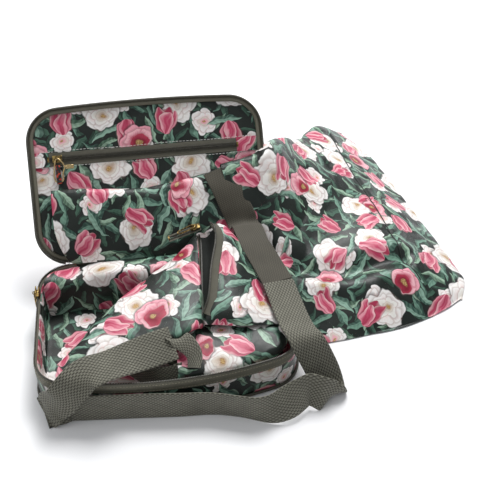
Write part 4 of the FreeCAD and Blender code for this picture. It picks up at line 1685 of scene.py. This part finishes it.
@dataclass
class Heap:
    """Holdall cloth in the tray: back roll, side flap, end panel with its mouth, and bottom panel."""

    def build(self) -> None:
        """Build the pieces from the back of the tray to its front."""
        self._back_roll()
        self._bottom()
        self._flap()
        self._end()

    def _back_roll(self) -> None:
        """Roll of cloth along the tray's back wall."""
        rows = (
            ((-136, 50, 6), (-100, 54, 6), (-55, 52, 6), (0, 54, 6), (60, 52, 6), (100, 50, 8), (134, 46, 8)),
            ((-138, 54, 24), (-100, 58, 16), (-55, 56, 24), (0, 58, 22), (60, 56, 24), (100, 54, 24), (135, 50, 26)),
            ((-138, 56, 44), (-100, 60, 32), (-55, 58, 44), (0, 60, 40), (60, 58, 46), (100, 56, 48), (137, 54, 48)),
            ((-137, 62, 52), (-98, 65, 44), (-60, 66, 56), (0, 66, 52), (60, 68, 57), (100, 68, 56), (133, 66, 53)),
            ((-130, 76, 52), (-96, 80, 47), (-60, 80, 54), (0, 82, 52), (60, 82, 55), (100, 82, 54), (126, 80, 52)),
            ((-119, 88, 44), (-94, 92, 44), (-60, 92, 48), (0, 92, 47), (60, 92, 50), (98, 92, 50), (118, 90, 48)),
        )
        roll = LooseCloth("back_roll", rows, (0.71, 0.40), 30.0, 1.8, 34.0, 2.0, finish=LINING, cell=9.0)
        seat(roll.build(["tray_lining"], "folded"), Body.CASE, "holdall_back_roll")

    def _flap(self) -> None:
        """Side panel: a long triangle from the tray's left front up to the mouth."""
        ridge = (
            (-119, -70, 50), (-95, -44, 53), (-72, -14, 58), (-33, 22, 65), (2, 43, 73), (32, 62, 84), (47, 76, 93),
        )
        lower = (
            (-113, -78, 50), (-82, -73, 53), (-47, -69, 58), (-7, -65, 64), (28, -54, 68), (40, -38, 68), (45, 24, 81),
        )
        bulges = (1.0, 4.0, 6.0, 7.0, 6.0, 4.0, 2.0)
        rows = []
        for index, (high, low, bulge) in enumerate(zip(ridge, lower, bulges)):
            first = tuple(a + (b - a) * 0.33 + c for a, b, c in zip(high, low, (0, 0, bulge)))
            second = tuple(a + (b - a) * 0.68 + c for a, b, c in zip(high, low, (0, 0, bulge * 0.8)))
            drop = min(4.0 + 4.5 * index, 18.0)
            back = (high[0] + 2, high[1] + 7, high[2] - drop)
            under = (low[0] + 2, low[1] + (5 if index < 5 else -3), low[2] - min(3.0 + 3 * index, 9.0))
            rows.append((back, high, first, second, low, under))
        flap = LooseCloth("side_flap", rows, (0.27, 0.66), -38.0, 1.6, 40.0, 1.0, cell=9.0)
        seat(flap.build(["back_roll", "bottom_panel"]), Body.CASE, "holdall_left_panel")

    def _end(self) -> None:
        """End panel to the right of the mouth."""
        rows = (
            ((60, 82, 84), (70, 81, 97), (76, 80, 100), (84, 78, 95), (92, 76, 78)),
            ((66, 56, 74), (72, 54, 93), (84, 58, 94), (99, 62, 82), (106, 64, 60)),
            ((56, 24, 66), (63, 21, 85), (86, 26, 86), (110, 30, 72), (118, 32, 52)),
            ((50, -14, 56), (55, -17, 75), (84, -8, 77), (113, 2, 63), (121, 4, 50)),
            ((44, -34, 54), (47, -37, 68), (82, -38, 68), (117, -34, 58), (124, -34, 50)),
            ((42, -40, 52), (46, -44, 60), (82, -50, 58), (120, -48, 53), (126, -48, 48)),
        )
        panel = LooseCloth("end_panel", rows, (0.15, 0.52), 60.0, 1.6, 38.0, 5.0, cell=8.0)
        seat(panel.build(["bottom_panel"]), Body.CASE, "holdall_end_panel")

    def _bottom(self) -> None:
        """Bottom panel in the tray's right front."""
        rows = (
            ((6, -99, 38), (50, -98, 38), (95, -90, 38), (120, -80, 38), (128, -70, 38)),
            ((8, -97, 45), (50, -95, 46), (95, -87, 46), (121, -78, 46), (131, -67, 45)),
            ((8, -72, 50), (50, -70, 52), (95, -65, 51), (126, -60, 49), (136, -54, 45)),
            ((8, -42, 49), (50, -40, 50), (95, -38, 49), (132, -36, 48), (138, -34, 44)),
            ((8, -8, 43), (50, -5, 44), (95, -5, 45), (133, -5, 47), (138, -5, 43)),
            ((8, 12, 30), (50, 16, 32), (95, 18, 36), (132, 18, 44), (138, 18, 40)),
        )
        panel = LooseCloth("bottom_panel", rows, (0.36, 0.22), 8.0, 1.7, 36.0, 8.0, cell=9.0)
        seat(panel.build(["tray_lining"]), Body.CASE, "holdall_bottom_panel")


# ---------------------------------------------------------------- webbing
@dataclass
class Strap:
    """Run of webbing through sections, each a centre and the direction across.

    Attributes:
        name: Name of the piece.
        sections: Centres in millimetres, each with the direction across the webbing.
        width: Width in millimetres.
        thick: Thickness in millimetres.
        finish: Its weave.
        lift: How far its lower face stands above the centres.
        start: Where the weave starts along it.
        taper: Its width at the far end, as a share.
    """

    name: str
    sections: Sequence[Section]
    width: float = 38.0
    thick: float = 1.8
    finish: Finish = COARSE
    lift: float = 0.0
    start: float = 0.0
    taper: float = 1.0

    def build(self) -> bpy.types.Object:
        """Sweep the webbing's section along its run, laid out flat by width and length.

        Returns:
            The dressed webbing, not yet riding on a body.
        """
        centres = np.array([section[0] for section in self.sections], float)
        across = np.array([section[1] for section in self.sections], float)
        across /= np.linalg.norm(across, axis=1, keepdims=True)
        both = np.concatenate([centres, across * 30.0], axis=1)
        count = max(8, round(run_length(centres)[-1] / 3.0))
        fine = even_run(both, count)
        line, side = fine[:, :3], fine[:, 3:]
        along = np.gradient(line, axis=0)
        normal = np.cross(side, along)
        normal /= np.linalg.norm(normal, axis=1, keepdims=True)
        side = np.cross(along, normal)
        side /= np.linalg.norm(side, axis=1, keepdims=True)
        shoulder = ((0.3, 0.46), (0.6, 0.47), (0.86, 0.5), (0.95, 0.46), (0.985, 0.30))
        upper = [*((-t, h) for t, h in reversed(shoulder)), (0, 0.46), *shoulder]
        section = upper + [(1.0, 0.0)] + [(t, -h) for t, h in reversed(upper)] + [(-1.0, 0.0)]
        length = run_length(line)
        rings = np.zeros((count, len(section), 3))
        for row in range(count):
            half = self.width / 2 * (1.0 + (self.taper - 1.0) * length[row] / length[-1])
            for column, (t, h) in enumerate(section):
                cup = 0.5 * t * t * math.sin(length[row] / 23.0)
                rings[row, column] = line[row] + side[row] * half * t
                rings[row, column] += normal[row] * (self.lift + self.thick * (0.5 + h) + cup)
        rings[:, :, 2] = np.maximum(rings[:, :, 2], 0.4)
        width = [t * self.width / 2 for t, _ in section] + [section[0][0] * self.width / 2]
        flat = grid(width, length + self.start, "xy")
        obj = lattice(self.name, rings * MM, flat, (False, True))
        face_outwards(obj)
        dress(obj, self.finish, 60.0)
        self.width * MM
        return obj


@dataclass
class Handles:
    """The long handle's runs and turned folds, its join, and the inner handle."""

    def build(self) -> None:
        """Build the runs from the lid to the front, then the inner handle."""
        upper = [
            (on_lid(83, 98, 6.5), (38, 3, 0)), (on_lid(92, 75, 12.5), (38, 3, 0)),
            (on_lid(101, 50, 14), (38, 0, 0)), (on_lid(108, 30, 14.5), (38, -3, 0)),
        ]
        right = (
            ((112, 92, 82), (35, -4, -3)), ((116, 62, 81), (34, -6, -6)), ((126, 31, 74), (34, 0, -5)),
            ((134, 4, 69), (34, 5, -3)), ((138, -21, 64), (38, 7, -4)), ((142, -52, 61), (38, 4, -4)),
            ((149, -79, 58), (38, 0, -5)), ((162, -93, 33), (38, 3, -3)), ((170, -101, 12), (38, 4, 1)),
            ((172, -112, 3), (38, 6, 0)),
        )
        strap = Strap("long_handle_smooth_run", (*upper, *right[:4]), finish=TWILL)
        obj = strap.build()
        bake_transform(obj)
        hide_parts("long_handle_upper")
        strap = Strap("long_handle_right_run", (
            *right[3:], ((169, -122, 9), (28, 16, 18)), ((159, -123, 18), (10, 14, 34)), ((146, -120, 22), (2, 16, 34)),
            ((134, -126, 23), (-2, 18, 31)), ((120, -133, 21), (-7, 19, 31)), ((104, -137, 19), (-6, 11, 36)),
            ((86, -135, 19), (-2, 1, 38)), ((67, -128, 19), (-1, -2, 38)), ((40, -120, 19), (0, -1, 37)),
            ((0, -116, 19), (0, 1, 37)), ((-60, -110, 19), (0, 2, 37)), ((-95, -106, 19), (-1, 2, 37)),
            ((-116, -103, 19), (-1, 3, 37)),
        ))
        seat(strap.build(), Body.CASE, "long_handle_right", "long_handle_front")
        strap = Strap("long_handle_left_run", (
            ((-116, -103, 19), (-2, 6, 36)), ((-130, -99, 12), (-10, 22, 28)), ((-138, -97, 6), (-17, 33, 10)),
            ((-134, -101, 12), (-18, 28, 12)), ((-129, -103, 22), (-18, 20, 25)), ((-117, -109, 36), (-10, 8, 35)),
            ((-104, -107, 52), (-9, 18, 30)), ((-88, -97, 61), (-8, 32, 14)), ((-65, -90, 63), (-8, 35, 5)),
            ((-38, -82, 64), (-4, 34, 12)), ((-11, -74, 64), (-2, 31, 18)), ((6, -70, 65), (-4, 32, 16)),
        ))
        seat(strap.build(), Body.CASE, "long_handle_diagonal")
        strap = Strap("long_handle_knot", (
            ((4, -60, 62), (20, -10, 2)), ((14, -68, 65), (24, -12, 5)), ((22, -78, 64), (24, -10, 8)),
            ((26, -88, 60), (20, -4, 12)), ((24, -98, 53), (14, 2, 14)),
        ), width=24.0, taper=0.72)
        seat(strap.build(), Body.CASE)
        strap = Strap("inner_handle_loop", (
            ((-44, -58, 27), (4, 4, 38)), ((-36, -68, 27), (2, 3, 38)), ((-28, -78, 27), (0, 3, 38)),
            ((-16, -87, 27), (0, 3, 38)), ((0, -92, 29), (0, 6, 37)), ((16, -95, 34), (2, 14, 33)),
        ))
        seat(strap.build(), Body.CASE, "inner_handle")
        self._join(right)

    def _join(self, right: Sequence[Section]) -> None:
        """Overlap where the two webbings are sewn together, and its stitches.

        Args:
            right: Sections of the run that it is sewn on.
        """
        patch = Strap("handle_join_overlap", right[3:7], width=37.4, thick=1.0, lift=1.7, start=4.0)
        seat(patch.build(), Body.CASE, "handle_join_patch")
        places = []
        for index, offset in ((3, 2.0), (6, -2.0)):
            (centre, side), (other, _) = right[index], right[index + (1 if index == 3 else -1)]
            centre, side, other = (np.array(part, float) for part in (centre, side, other))
            side /= np.linalg.norm(side)
            ahead = (other - centre) / np.linalg.norm(other - centre)
            up = np.cross(side, ahead) * (1 if index == 3 else -1)
            row = np.array([centre + side * step + ahead * 4 + up * 3.0 for step in np.linspace(-16, 16, 20)])
            places += dashes(row, steady(*up), 3.2)
        thread = stamp("handle_join_stitches", (2.4, 0.8, 0.6), places)
        seat(dress(thread, THREAD), Body.CASE)


# ---------------------------------------------------------------- zips
WIRE = 0.85
TOOTH_PITCH = 1.45


def wire_loop(name: str, corners: Sequence[Spot], radius: float, place: Matrix) -> bpy.types.Object:
    """Closed loop of round wire with softened corners.

    Args:
        name: Name of the object.
        corners: Corners in millimetres, in the zip's own frame.
        radius: Radius of the wire in millimetres.
        place: The zip's place in the frame.

    Returns:
        The loop, at its place.
    """
    bends = np.array(corners, float)
    points = []
    for before, here, after in zip(np.roll(bends, 1, axis=0), bends, np.roll(bends, -1, axis=0)):
        points += [here * (1 - share) + before * share for share in (0.5, 0.3, 0.16)]
        points += [here * (1 - share) + after * share for share in (0.16, 0.3)]
    path = np.array(points)
    for _ in range(2):
        path = (np.roll(path, 1, axis=0) + 2 * path + np.roll(path, -1, axis=0)) / 4
    obj = rod(name, path, radius, True, 12)
    obj.data.transform(place)
    return obj


def cast_slider(name: str, place: Matrix, bail_along: bool) -> bpy.types.Object:
    """Flat zip's slider: two rounded plates, the wedge's head, and a raised bail.

    Args:
        name: Name of the object.
        place: The zip's frame, with x along the zip and z away from its tape.
        bail_along: Whether the bail's opening faces along the zip.

    Returns:
        The slider, at its place.
    """
    under = block("under", (-5.9, -4.4, -1.6), (5.9, 4.4, -0.45), 0.5)
    over = block("over", (-5.9, -4.4, 2.45), (5.9, 4.4, 3.55), 0.5)
    lip_left = block("lip_left", (-5.4, -4.4, 1.9), (2.5, -3.8, 2.7), 0.25)
    lip_right = block("lip_right", (-5.4, 3.8, 1.9), (2.5, 4.4, 2.7), 0.25)
    wedge = block("wedge", (2.1, -0.7, 2.12), (4.9, 0.7, 2.6), 0.15)
    curve = ((-2.4, 3.3), (-2.4, 5.2), (-1.5, 6.5), (0, 6.9), (1.5, 6.5), (2.4, 5.2), (2.4, 3.3))
    arch = np.array([(0.0, side, up) if bail_along else (side, 0.0, up) for side, up in curve])
    bail = rod("bail", even_run(arch, 22), 0.55, False, 10)
    return join(name, [over, under, lip_left, lip_right, wedge, bail], place)


@dataclass
class PocketZip:
    """Flat zip across the lid's lining, with its slider, wire pull, tab and tag."""

    height: float = 128.0
    left: float = -123.0
    right: float = 114.0
    level: float = -6.3
    slider_x: float = -111.0
    tilt: float = 6.5

    def build(self) -> None:
        """Build tapes, coils, stitches, slider and pull."""
        for name, side in (("upper", 1), ("lower", -1)):
            self._half(name, side)
        frame_node("pocket_zip_stops", BRASS)
        for name, ends in (("left", (-143.2, self.left + 2.0)), ("right", (self.right - 2.0, 143.2))):
            across = np.linspace(*ends, 12)
            rows = np.linspace(self.height - 9.0, self.height + 9.0, 9)
            points = np.array([[(x, up, self.level + 0.9 + 0.2 * math.sin(x)) for up in rows] for x in across])
            patch = lattice(f"pocket_zip_end_{name}", points * MM, points[:, :, :2] * MM + (0.050, 0.045))
            patch.data.transform(LID_PLACE)
            apply_modifier(patch, "SOLIDIFY", thickness=0.6 * MM, offset=0.0)
            face_outwards(patch)
            seat(dress(patch, LINING), Body.LID)
        seam = []
        for up in (self.height + 9.6, self.height - 9.6):
            line = np.array([(x, up + 0.4 * math.sin(x / 17), self.level + 0.75) for x in np.linspace(-132, 124, 90)])
            seam += dashes(line, steady(0, 0, 1), 4.4)
        thread = stamp("pocket_zip_stitches", (3.1, 0.6, 0.5), seam)
        thread.data.transform(LID_PLACE)
        seat(dress(thread, WHITE_THREAD), Body.LID)
        place = LID_PLACE @ Matrix.Translation(Vector((self.slider_x, self.height, self.level)) * MM)
        slider = cast_slider("pocket_slider_cast", place, True)
        seat(dress(slider, BRASS), Body.POCKET_SLIDER, "pocket_zip_slider")
        self._pull()

    def _half(self, name: str, side: int) -> None:
        """Tape and coil on one side of the zip's middle line.

        Args:
            name: Name of the side.
            side: 1 above the line, -1 below it.
        """
        across = np.linspace(self.left, self.right, 80)
        section = np.array([
            (1.2, 0.05), (3.4, 0.55), (5.4, 0.45), (6.6, 0.7), (8.0, 0.6), (8.3, 0.1), (5.0, -0.1), (1.4, -0.1),
        ])
        points = np.array([[(x, self.height + side * u, self.level + w + 0.1) for u, w in section] for x in across])
        flat = grid(across, [*section[:, 0], section[0, 0]])
        tape = lattice(f"pocket_tape_{name}", points * MM, flat, (False, True))
        tape.data.transform(LID_PLACE)
        face_outwards(tape)
        seat(dress(tape, TAPE), Body.LID, f"pocket_zip_tape_{name}")
        ends = (self.left + 2.2 + 0.36 * side, self.right - 2.2 + 0.36 * side)
        line = np.array([(x, self.height + side * 1.4, self.level + 1.3) for x in ends])
        teeth = stamp(f"pocket_teeth_{name}", (0.66, 3.8, 1.5), dashes(line, steady(0, 0, 1), TOOTH_PITCH))
        teeth.data.transform(LID_PLACE)
        seat(dress(teeth, COIL), Body.LID, f"pocket_zip_coil_{name}")

    def _pull(self) -> None:
        """Bent wire pull with its tab and cloth tag."""
        bar = Vector((self.slider_x, self.height, self.level + 4.9)) * MM
        place = LID_PLACE @ Matrix.Translation(bar) @ Matrix.Rotation(math.radians(self.tilt), 4, "X")
        corners = [(x, up, 0.0) for x, up in ((-3, 0), (3, 0), (9, -10), (4.5, -19), (6, -28), (-7, -29))]
        wire = wire_loop("pocket_pull_wire", corners, WIRE, place)
        seat(dress(wire, GOLD), Body.POCKET_PULL, "pocket_pull_loop")
        tab = block("tab", (9.2, -13.0, -0.55), (19.2, -8.0, 0.55), 0.35)
        collar = rod("collar", np.array([(8.6, -10.5, 0), (10.4, -10.5, 0)], float), 1.35, False, 14)
        tab = join("pocket_pull_gold_tab", [tab, collar], place)
        seat(dress(tab, GOLD), Body.POCKET_PULL, "pocket_pull_tab")
        tag = block("tag", (-3.0, -30.5, -0.6), (2.8, -8.0, 0.6), 0.4)
        fold = block("tag_fold", (-3.1, -31.0, -1.0), (2.9, -27.0, 1.0), 0.5)
        tag = join("pocket_pull_cloth_tag", [tag, fold], place)
        seat(dress(tag, TAG), Body.POCKET_PULL, "pocket_pull_tag")


@dataclass
class RoundZipSlider:
    """Slider of the round zip, parked on the tray's left rim, and its pull."""

    park: float = 46.0

    def build(self) -> None:
        """Two plates over the rim, their bridge, a bail, and the hanging wire pull."""
        low, high = self.park - 5.9, self.park + 5.9
        outside = block("outside", (-146.6, low, 42.8), (-145.4, high, 55.9), 0.5)
        inside = block("inside", (-142.8, low, 42.8), (-141.6, high, 55.9), 0.5)
        bridge = block("bridge", (-146.2, low, 48.9), (-142.0, high, 50.1), 0.3)
        curve = ((-146.2, 47.6), (-148.2, 47.6), (-149.6, 48.6), (-149.6, 51.4), (-148.2, 52.4), (-146.2, 52.4))
        arch = np.array([(x, self.park, up) for x, up in curve])
        bail = rod("bail", even_run(arch, 20), 0.5, False, 10)
        slider = join("round_slider_cast", [outside, inside, bridge, bail], LEVEL)
        seat(dress(slider, BRASS), Body.ROUND_SLIDER, "round_zip_slider")
        bends = ((-3, 0), (3, 0), (5, -8), (4, -24), (-4, -24), (-5, -8))
        corners = [(-147.9, self.park + y, 50.0 + z) for y, z in bends]
        wire = wire_loop("round_pull_wire", corners, WIRE, LEVEL)
        seat(dress(wire, BRASS), Body.ROUND_PULL, "round_zip_pull")


@dataclass
class MouthZip:
    """Open zip along the holdall's mouth: two taped lips, and the closed end with its slider."""

    top: Spot = (53.0, 80.0, 98.0)
    low: Spot = (14.0, 76.0, 87.0)

    def build(self) -> None:
        """Build lips, the closed end, slider and pull."""
        top, low = Vector(self.top) * MM, Vector(self.low) * MM
        along = (low - top).normalized()
        up = Vector((0, 1, 0)).cross(along).normalized()
        across = up.cross(along)
        frame = Matrix((along, across, up)).transposed().to_4x4()
        place = Matrix.Translation(top) @ frame
        length = (low - top).length / MM
        for name, side in (("front", 1), ("back", -1)):
            line = np.linspace(0, length, 16)
            section = np.array([(1.2, 0.0), (3.4, 0.5), (5.8, 0.5), (6.0, 0.1), (1.4, -0.1)])
            points = np.array([[(x, side * u, w + 0.1) for u, w in section] for x in line])
            flat = grid(line, [*section[:, 0], section[0, 0]])
            tape = lattice(f"mouth_tape_{name}", points * MM, flat, (False, True))
            tape.data.transform(place)
            face_outwards(tape)
            seat(dress(tape, TAPE), Body.CASE, f"mouth_zip_tape_{name}")
            path = np.array([(0.0, side * 2.2, 1.3), (length - 2.4, side * 2.2, 1.3)])
            teeth = stamp(f"mouth_teeth_{name}", (1.0, 2.2, 1.5), dashes(path, steady(0, 0, 1), TOOTH_PITCH))
            teeth.data.transform(place)
            seat(dress(teeth, COIL), Body.CASE, f"mouth_zip_coil_{name}")
        frame_node("mouth_zip_stop", BRASS)
        parked = place @ Matrix.Translation((6.0 * MM, 0, 0))
        slider = cast_slider("mouth_slider_cast", parked, False)
        seat(dress(slider, BRASS), Body.MOUTH_SLIDER, "mouth_zip_slider")
        pivot = parked @ Matrix.Translation((0, 0, 4.9 * MM)) @ Matrix.Rotation(math.radians(3.5), 4, "Y")
        corners = [(x, y, 0.0) for x, y in ((0, -3), (0, 3), (7, 3.6), (22, 2.8), (22, -2.8), (7, -3.6))]
        wire = wire_loop("mouth_pull_wire", corners, WIRE, pivot)
        seat(dress(wire, BRASS), Body.MOUTH_PULL, "mouth_zip_pull")
        self._lips()

    def _lips(self) -> None:
        """Tape and coil along the two lips of the open mouth, with a near-black sheet of painted shade between them."""
        right = ((69, 80, 101), (73, 70, 102), (72, 52, 96), (63, 20, 87.5), (55, -18, 77), (46, -38, 69.5))
        left = ((50, 76, 86), (51, 64, 81), (48, 30, 76), (44, -6, 69), (40, -36, 63))
        inside = (
            ((51, 76, 85), (52, 64, 80), (49, 30, 75), (45, -6, 68), (41, -34, 62)),
            ((60, 76, 84), (61, 64, 79), (56, 30, 73), (50, -6, 66), (43, -34, 61)),
            ((68, 77, 95), (70, 66, 96), (64, 28, 84), (55, -8, 74), (46, -34, 66)),
        )
        # Near-black sheet in the mouth: painted shade standing in for the dark opening, not the lining's own colour.
        lining = LooseCloth("mouth_painted_shade", inside, crease=0.4, crease_size=30.0, finish=DARK_CLOTH_AND_PAINTED_SHADE, cell=8.0)
        seat(lining.build(["bottom_panel"]), Body.CASE)
        for name, path, across, edge in (
            ("right", right, (9.0, 0.0, -2.0), (-4.4, 0.0, 2.8)),
            ("left", left, (2.6, 0.0, -8.6), (0.4, 0.0, 4.2)),
        ):
            line = even_run(np.array(path, float), 50)
            sections = [(tuple(spot), across) for spot in line[::7]]
            strap = Strap(f"mouth_lip_{name}_tape", sections, width=10.0, thick=1.2, finish=TAPE)
            seat(strap.build(), Body.CASE)
            places = dashes(line + edge, steady(0, -0.3, 1), TOOTH_PITCH)
            teeth = stamp(f"mouth_lip_{name}_teeth", (1.0, 2.2, 1.6), places)
            seat(dress(teeth, COIL), Body.CASE)


# ---------------------------------------------------------------- studio
@dataclass
class Studio:
    """Pale floor, soft lights and the camera."""

    eye: Spot = (-0.011, -0.659, 0.701)
    target: Spot = (0.08, 0.08, 0.03)
    azimuth: float = -8.6
    elevation: float = 40.1
    lens: float = 60.0

    def build(self) -> None:
        """Lay the floor, hang the lights and place the camera."""
        bpy.ops.object.select_all(action="DESELECT")
        bpy.ops.mesh.primitive_plane_add(size=12.0, location=(0, 0, -0.0005))
        floor = bpy.context.object
        floor.name = "studio_floor"
        material = bpy.data.materials.new("studio_floor")
        material.use_nodes = True
        shader = material.node_tree.nodes["Principled BSDF"]
        shader.inputs["Base Color"].default_value = (0.93, 0.93, 0.94, 1)
        shader.inputs["Roughness"].default_value = 0.9
        floor.data.materials.append(material)
        world = bpy.data.worlds.new("studio")
        bpy.context.scene.world = world
        world.use_nodes = True
        background = world.node_tree.nodes["Background"]
        background.inputs["Color"].default_value = (0.95, 0.97, 1.0, 1)
        background.inputs["Strength"].default_value = 0.37
        for name, spot, size, power in (
            ("key", (0.55, 1.15, 2.1), 1.0, 56.0),
            ("fill", (-1.3, -0.4, 1.5), 1.6, 6.0),
            ("back", (-0.3, 1.5, 1.2), 0.9, 9.0),
        ):
            light = bpy.data.lights.new(name, "AREA")
            light.size = size
            light.energy = power
            lamp = bpy.data.objects.new(name, light)
            lamp.location = spot
            lamp.rotation_euler = (Vector(self.target) - Vector(spot)).to_track_quat("-Z", "Y").to_euler()
            bpy.context.collection.objects.link(lamp)
        camera = bpy.data.cameras.new("camera")
        camera.lens = self.lens
        camera.sensor_width = 36.0
        obj = bpy.data.objects.new("camera", camera)
        turn, rise = math.radians(self.azimuth), math.radians(self.elevation)
        ahead = Vector((-math.sin(turn) * math.cos(rise), math.cos(turn) * math.cos(rise), -math.sin(rise)))
        obj.location = self.eye
        obj.rotation_euler = ahead.to_track_quat("-Z", "Y").to_euler()
        bpy.context.collection.objects.link(obj)
        bpy.context.scene.camera = obj
        bpy.context.scene.view_settings.view_transform = "Standard"


def main() -> None:
    """Build the holdall and its studio in the frame."""
    logging.basicConfig(level=logging.INFO, format="%(message)s")
    noise.seed_set(7)
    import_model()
    Studio().build()
    tray_shell = Shell(Outline(13.0), LEVEL, False)
    lid_shell = Shell(Outline(3.0), LID_PLACE, True)
    Tray(tray_shell).build()
    Lid(lid_shell).build()
    ClothHinge().build()
    PocketZip().build()
    RoundZipSlider().build()
    Heap().build()
    Throw().build()
    MouthZip().build()
    Handles().build()


if __name__ == "__main__":
    main()
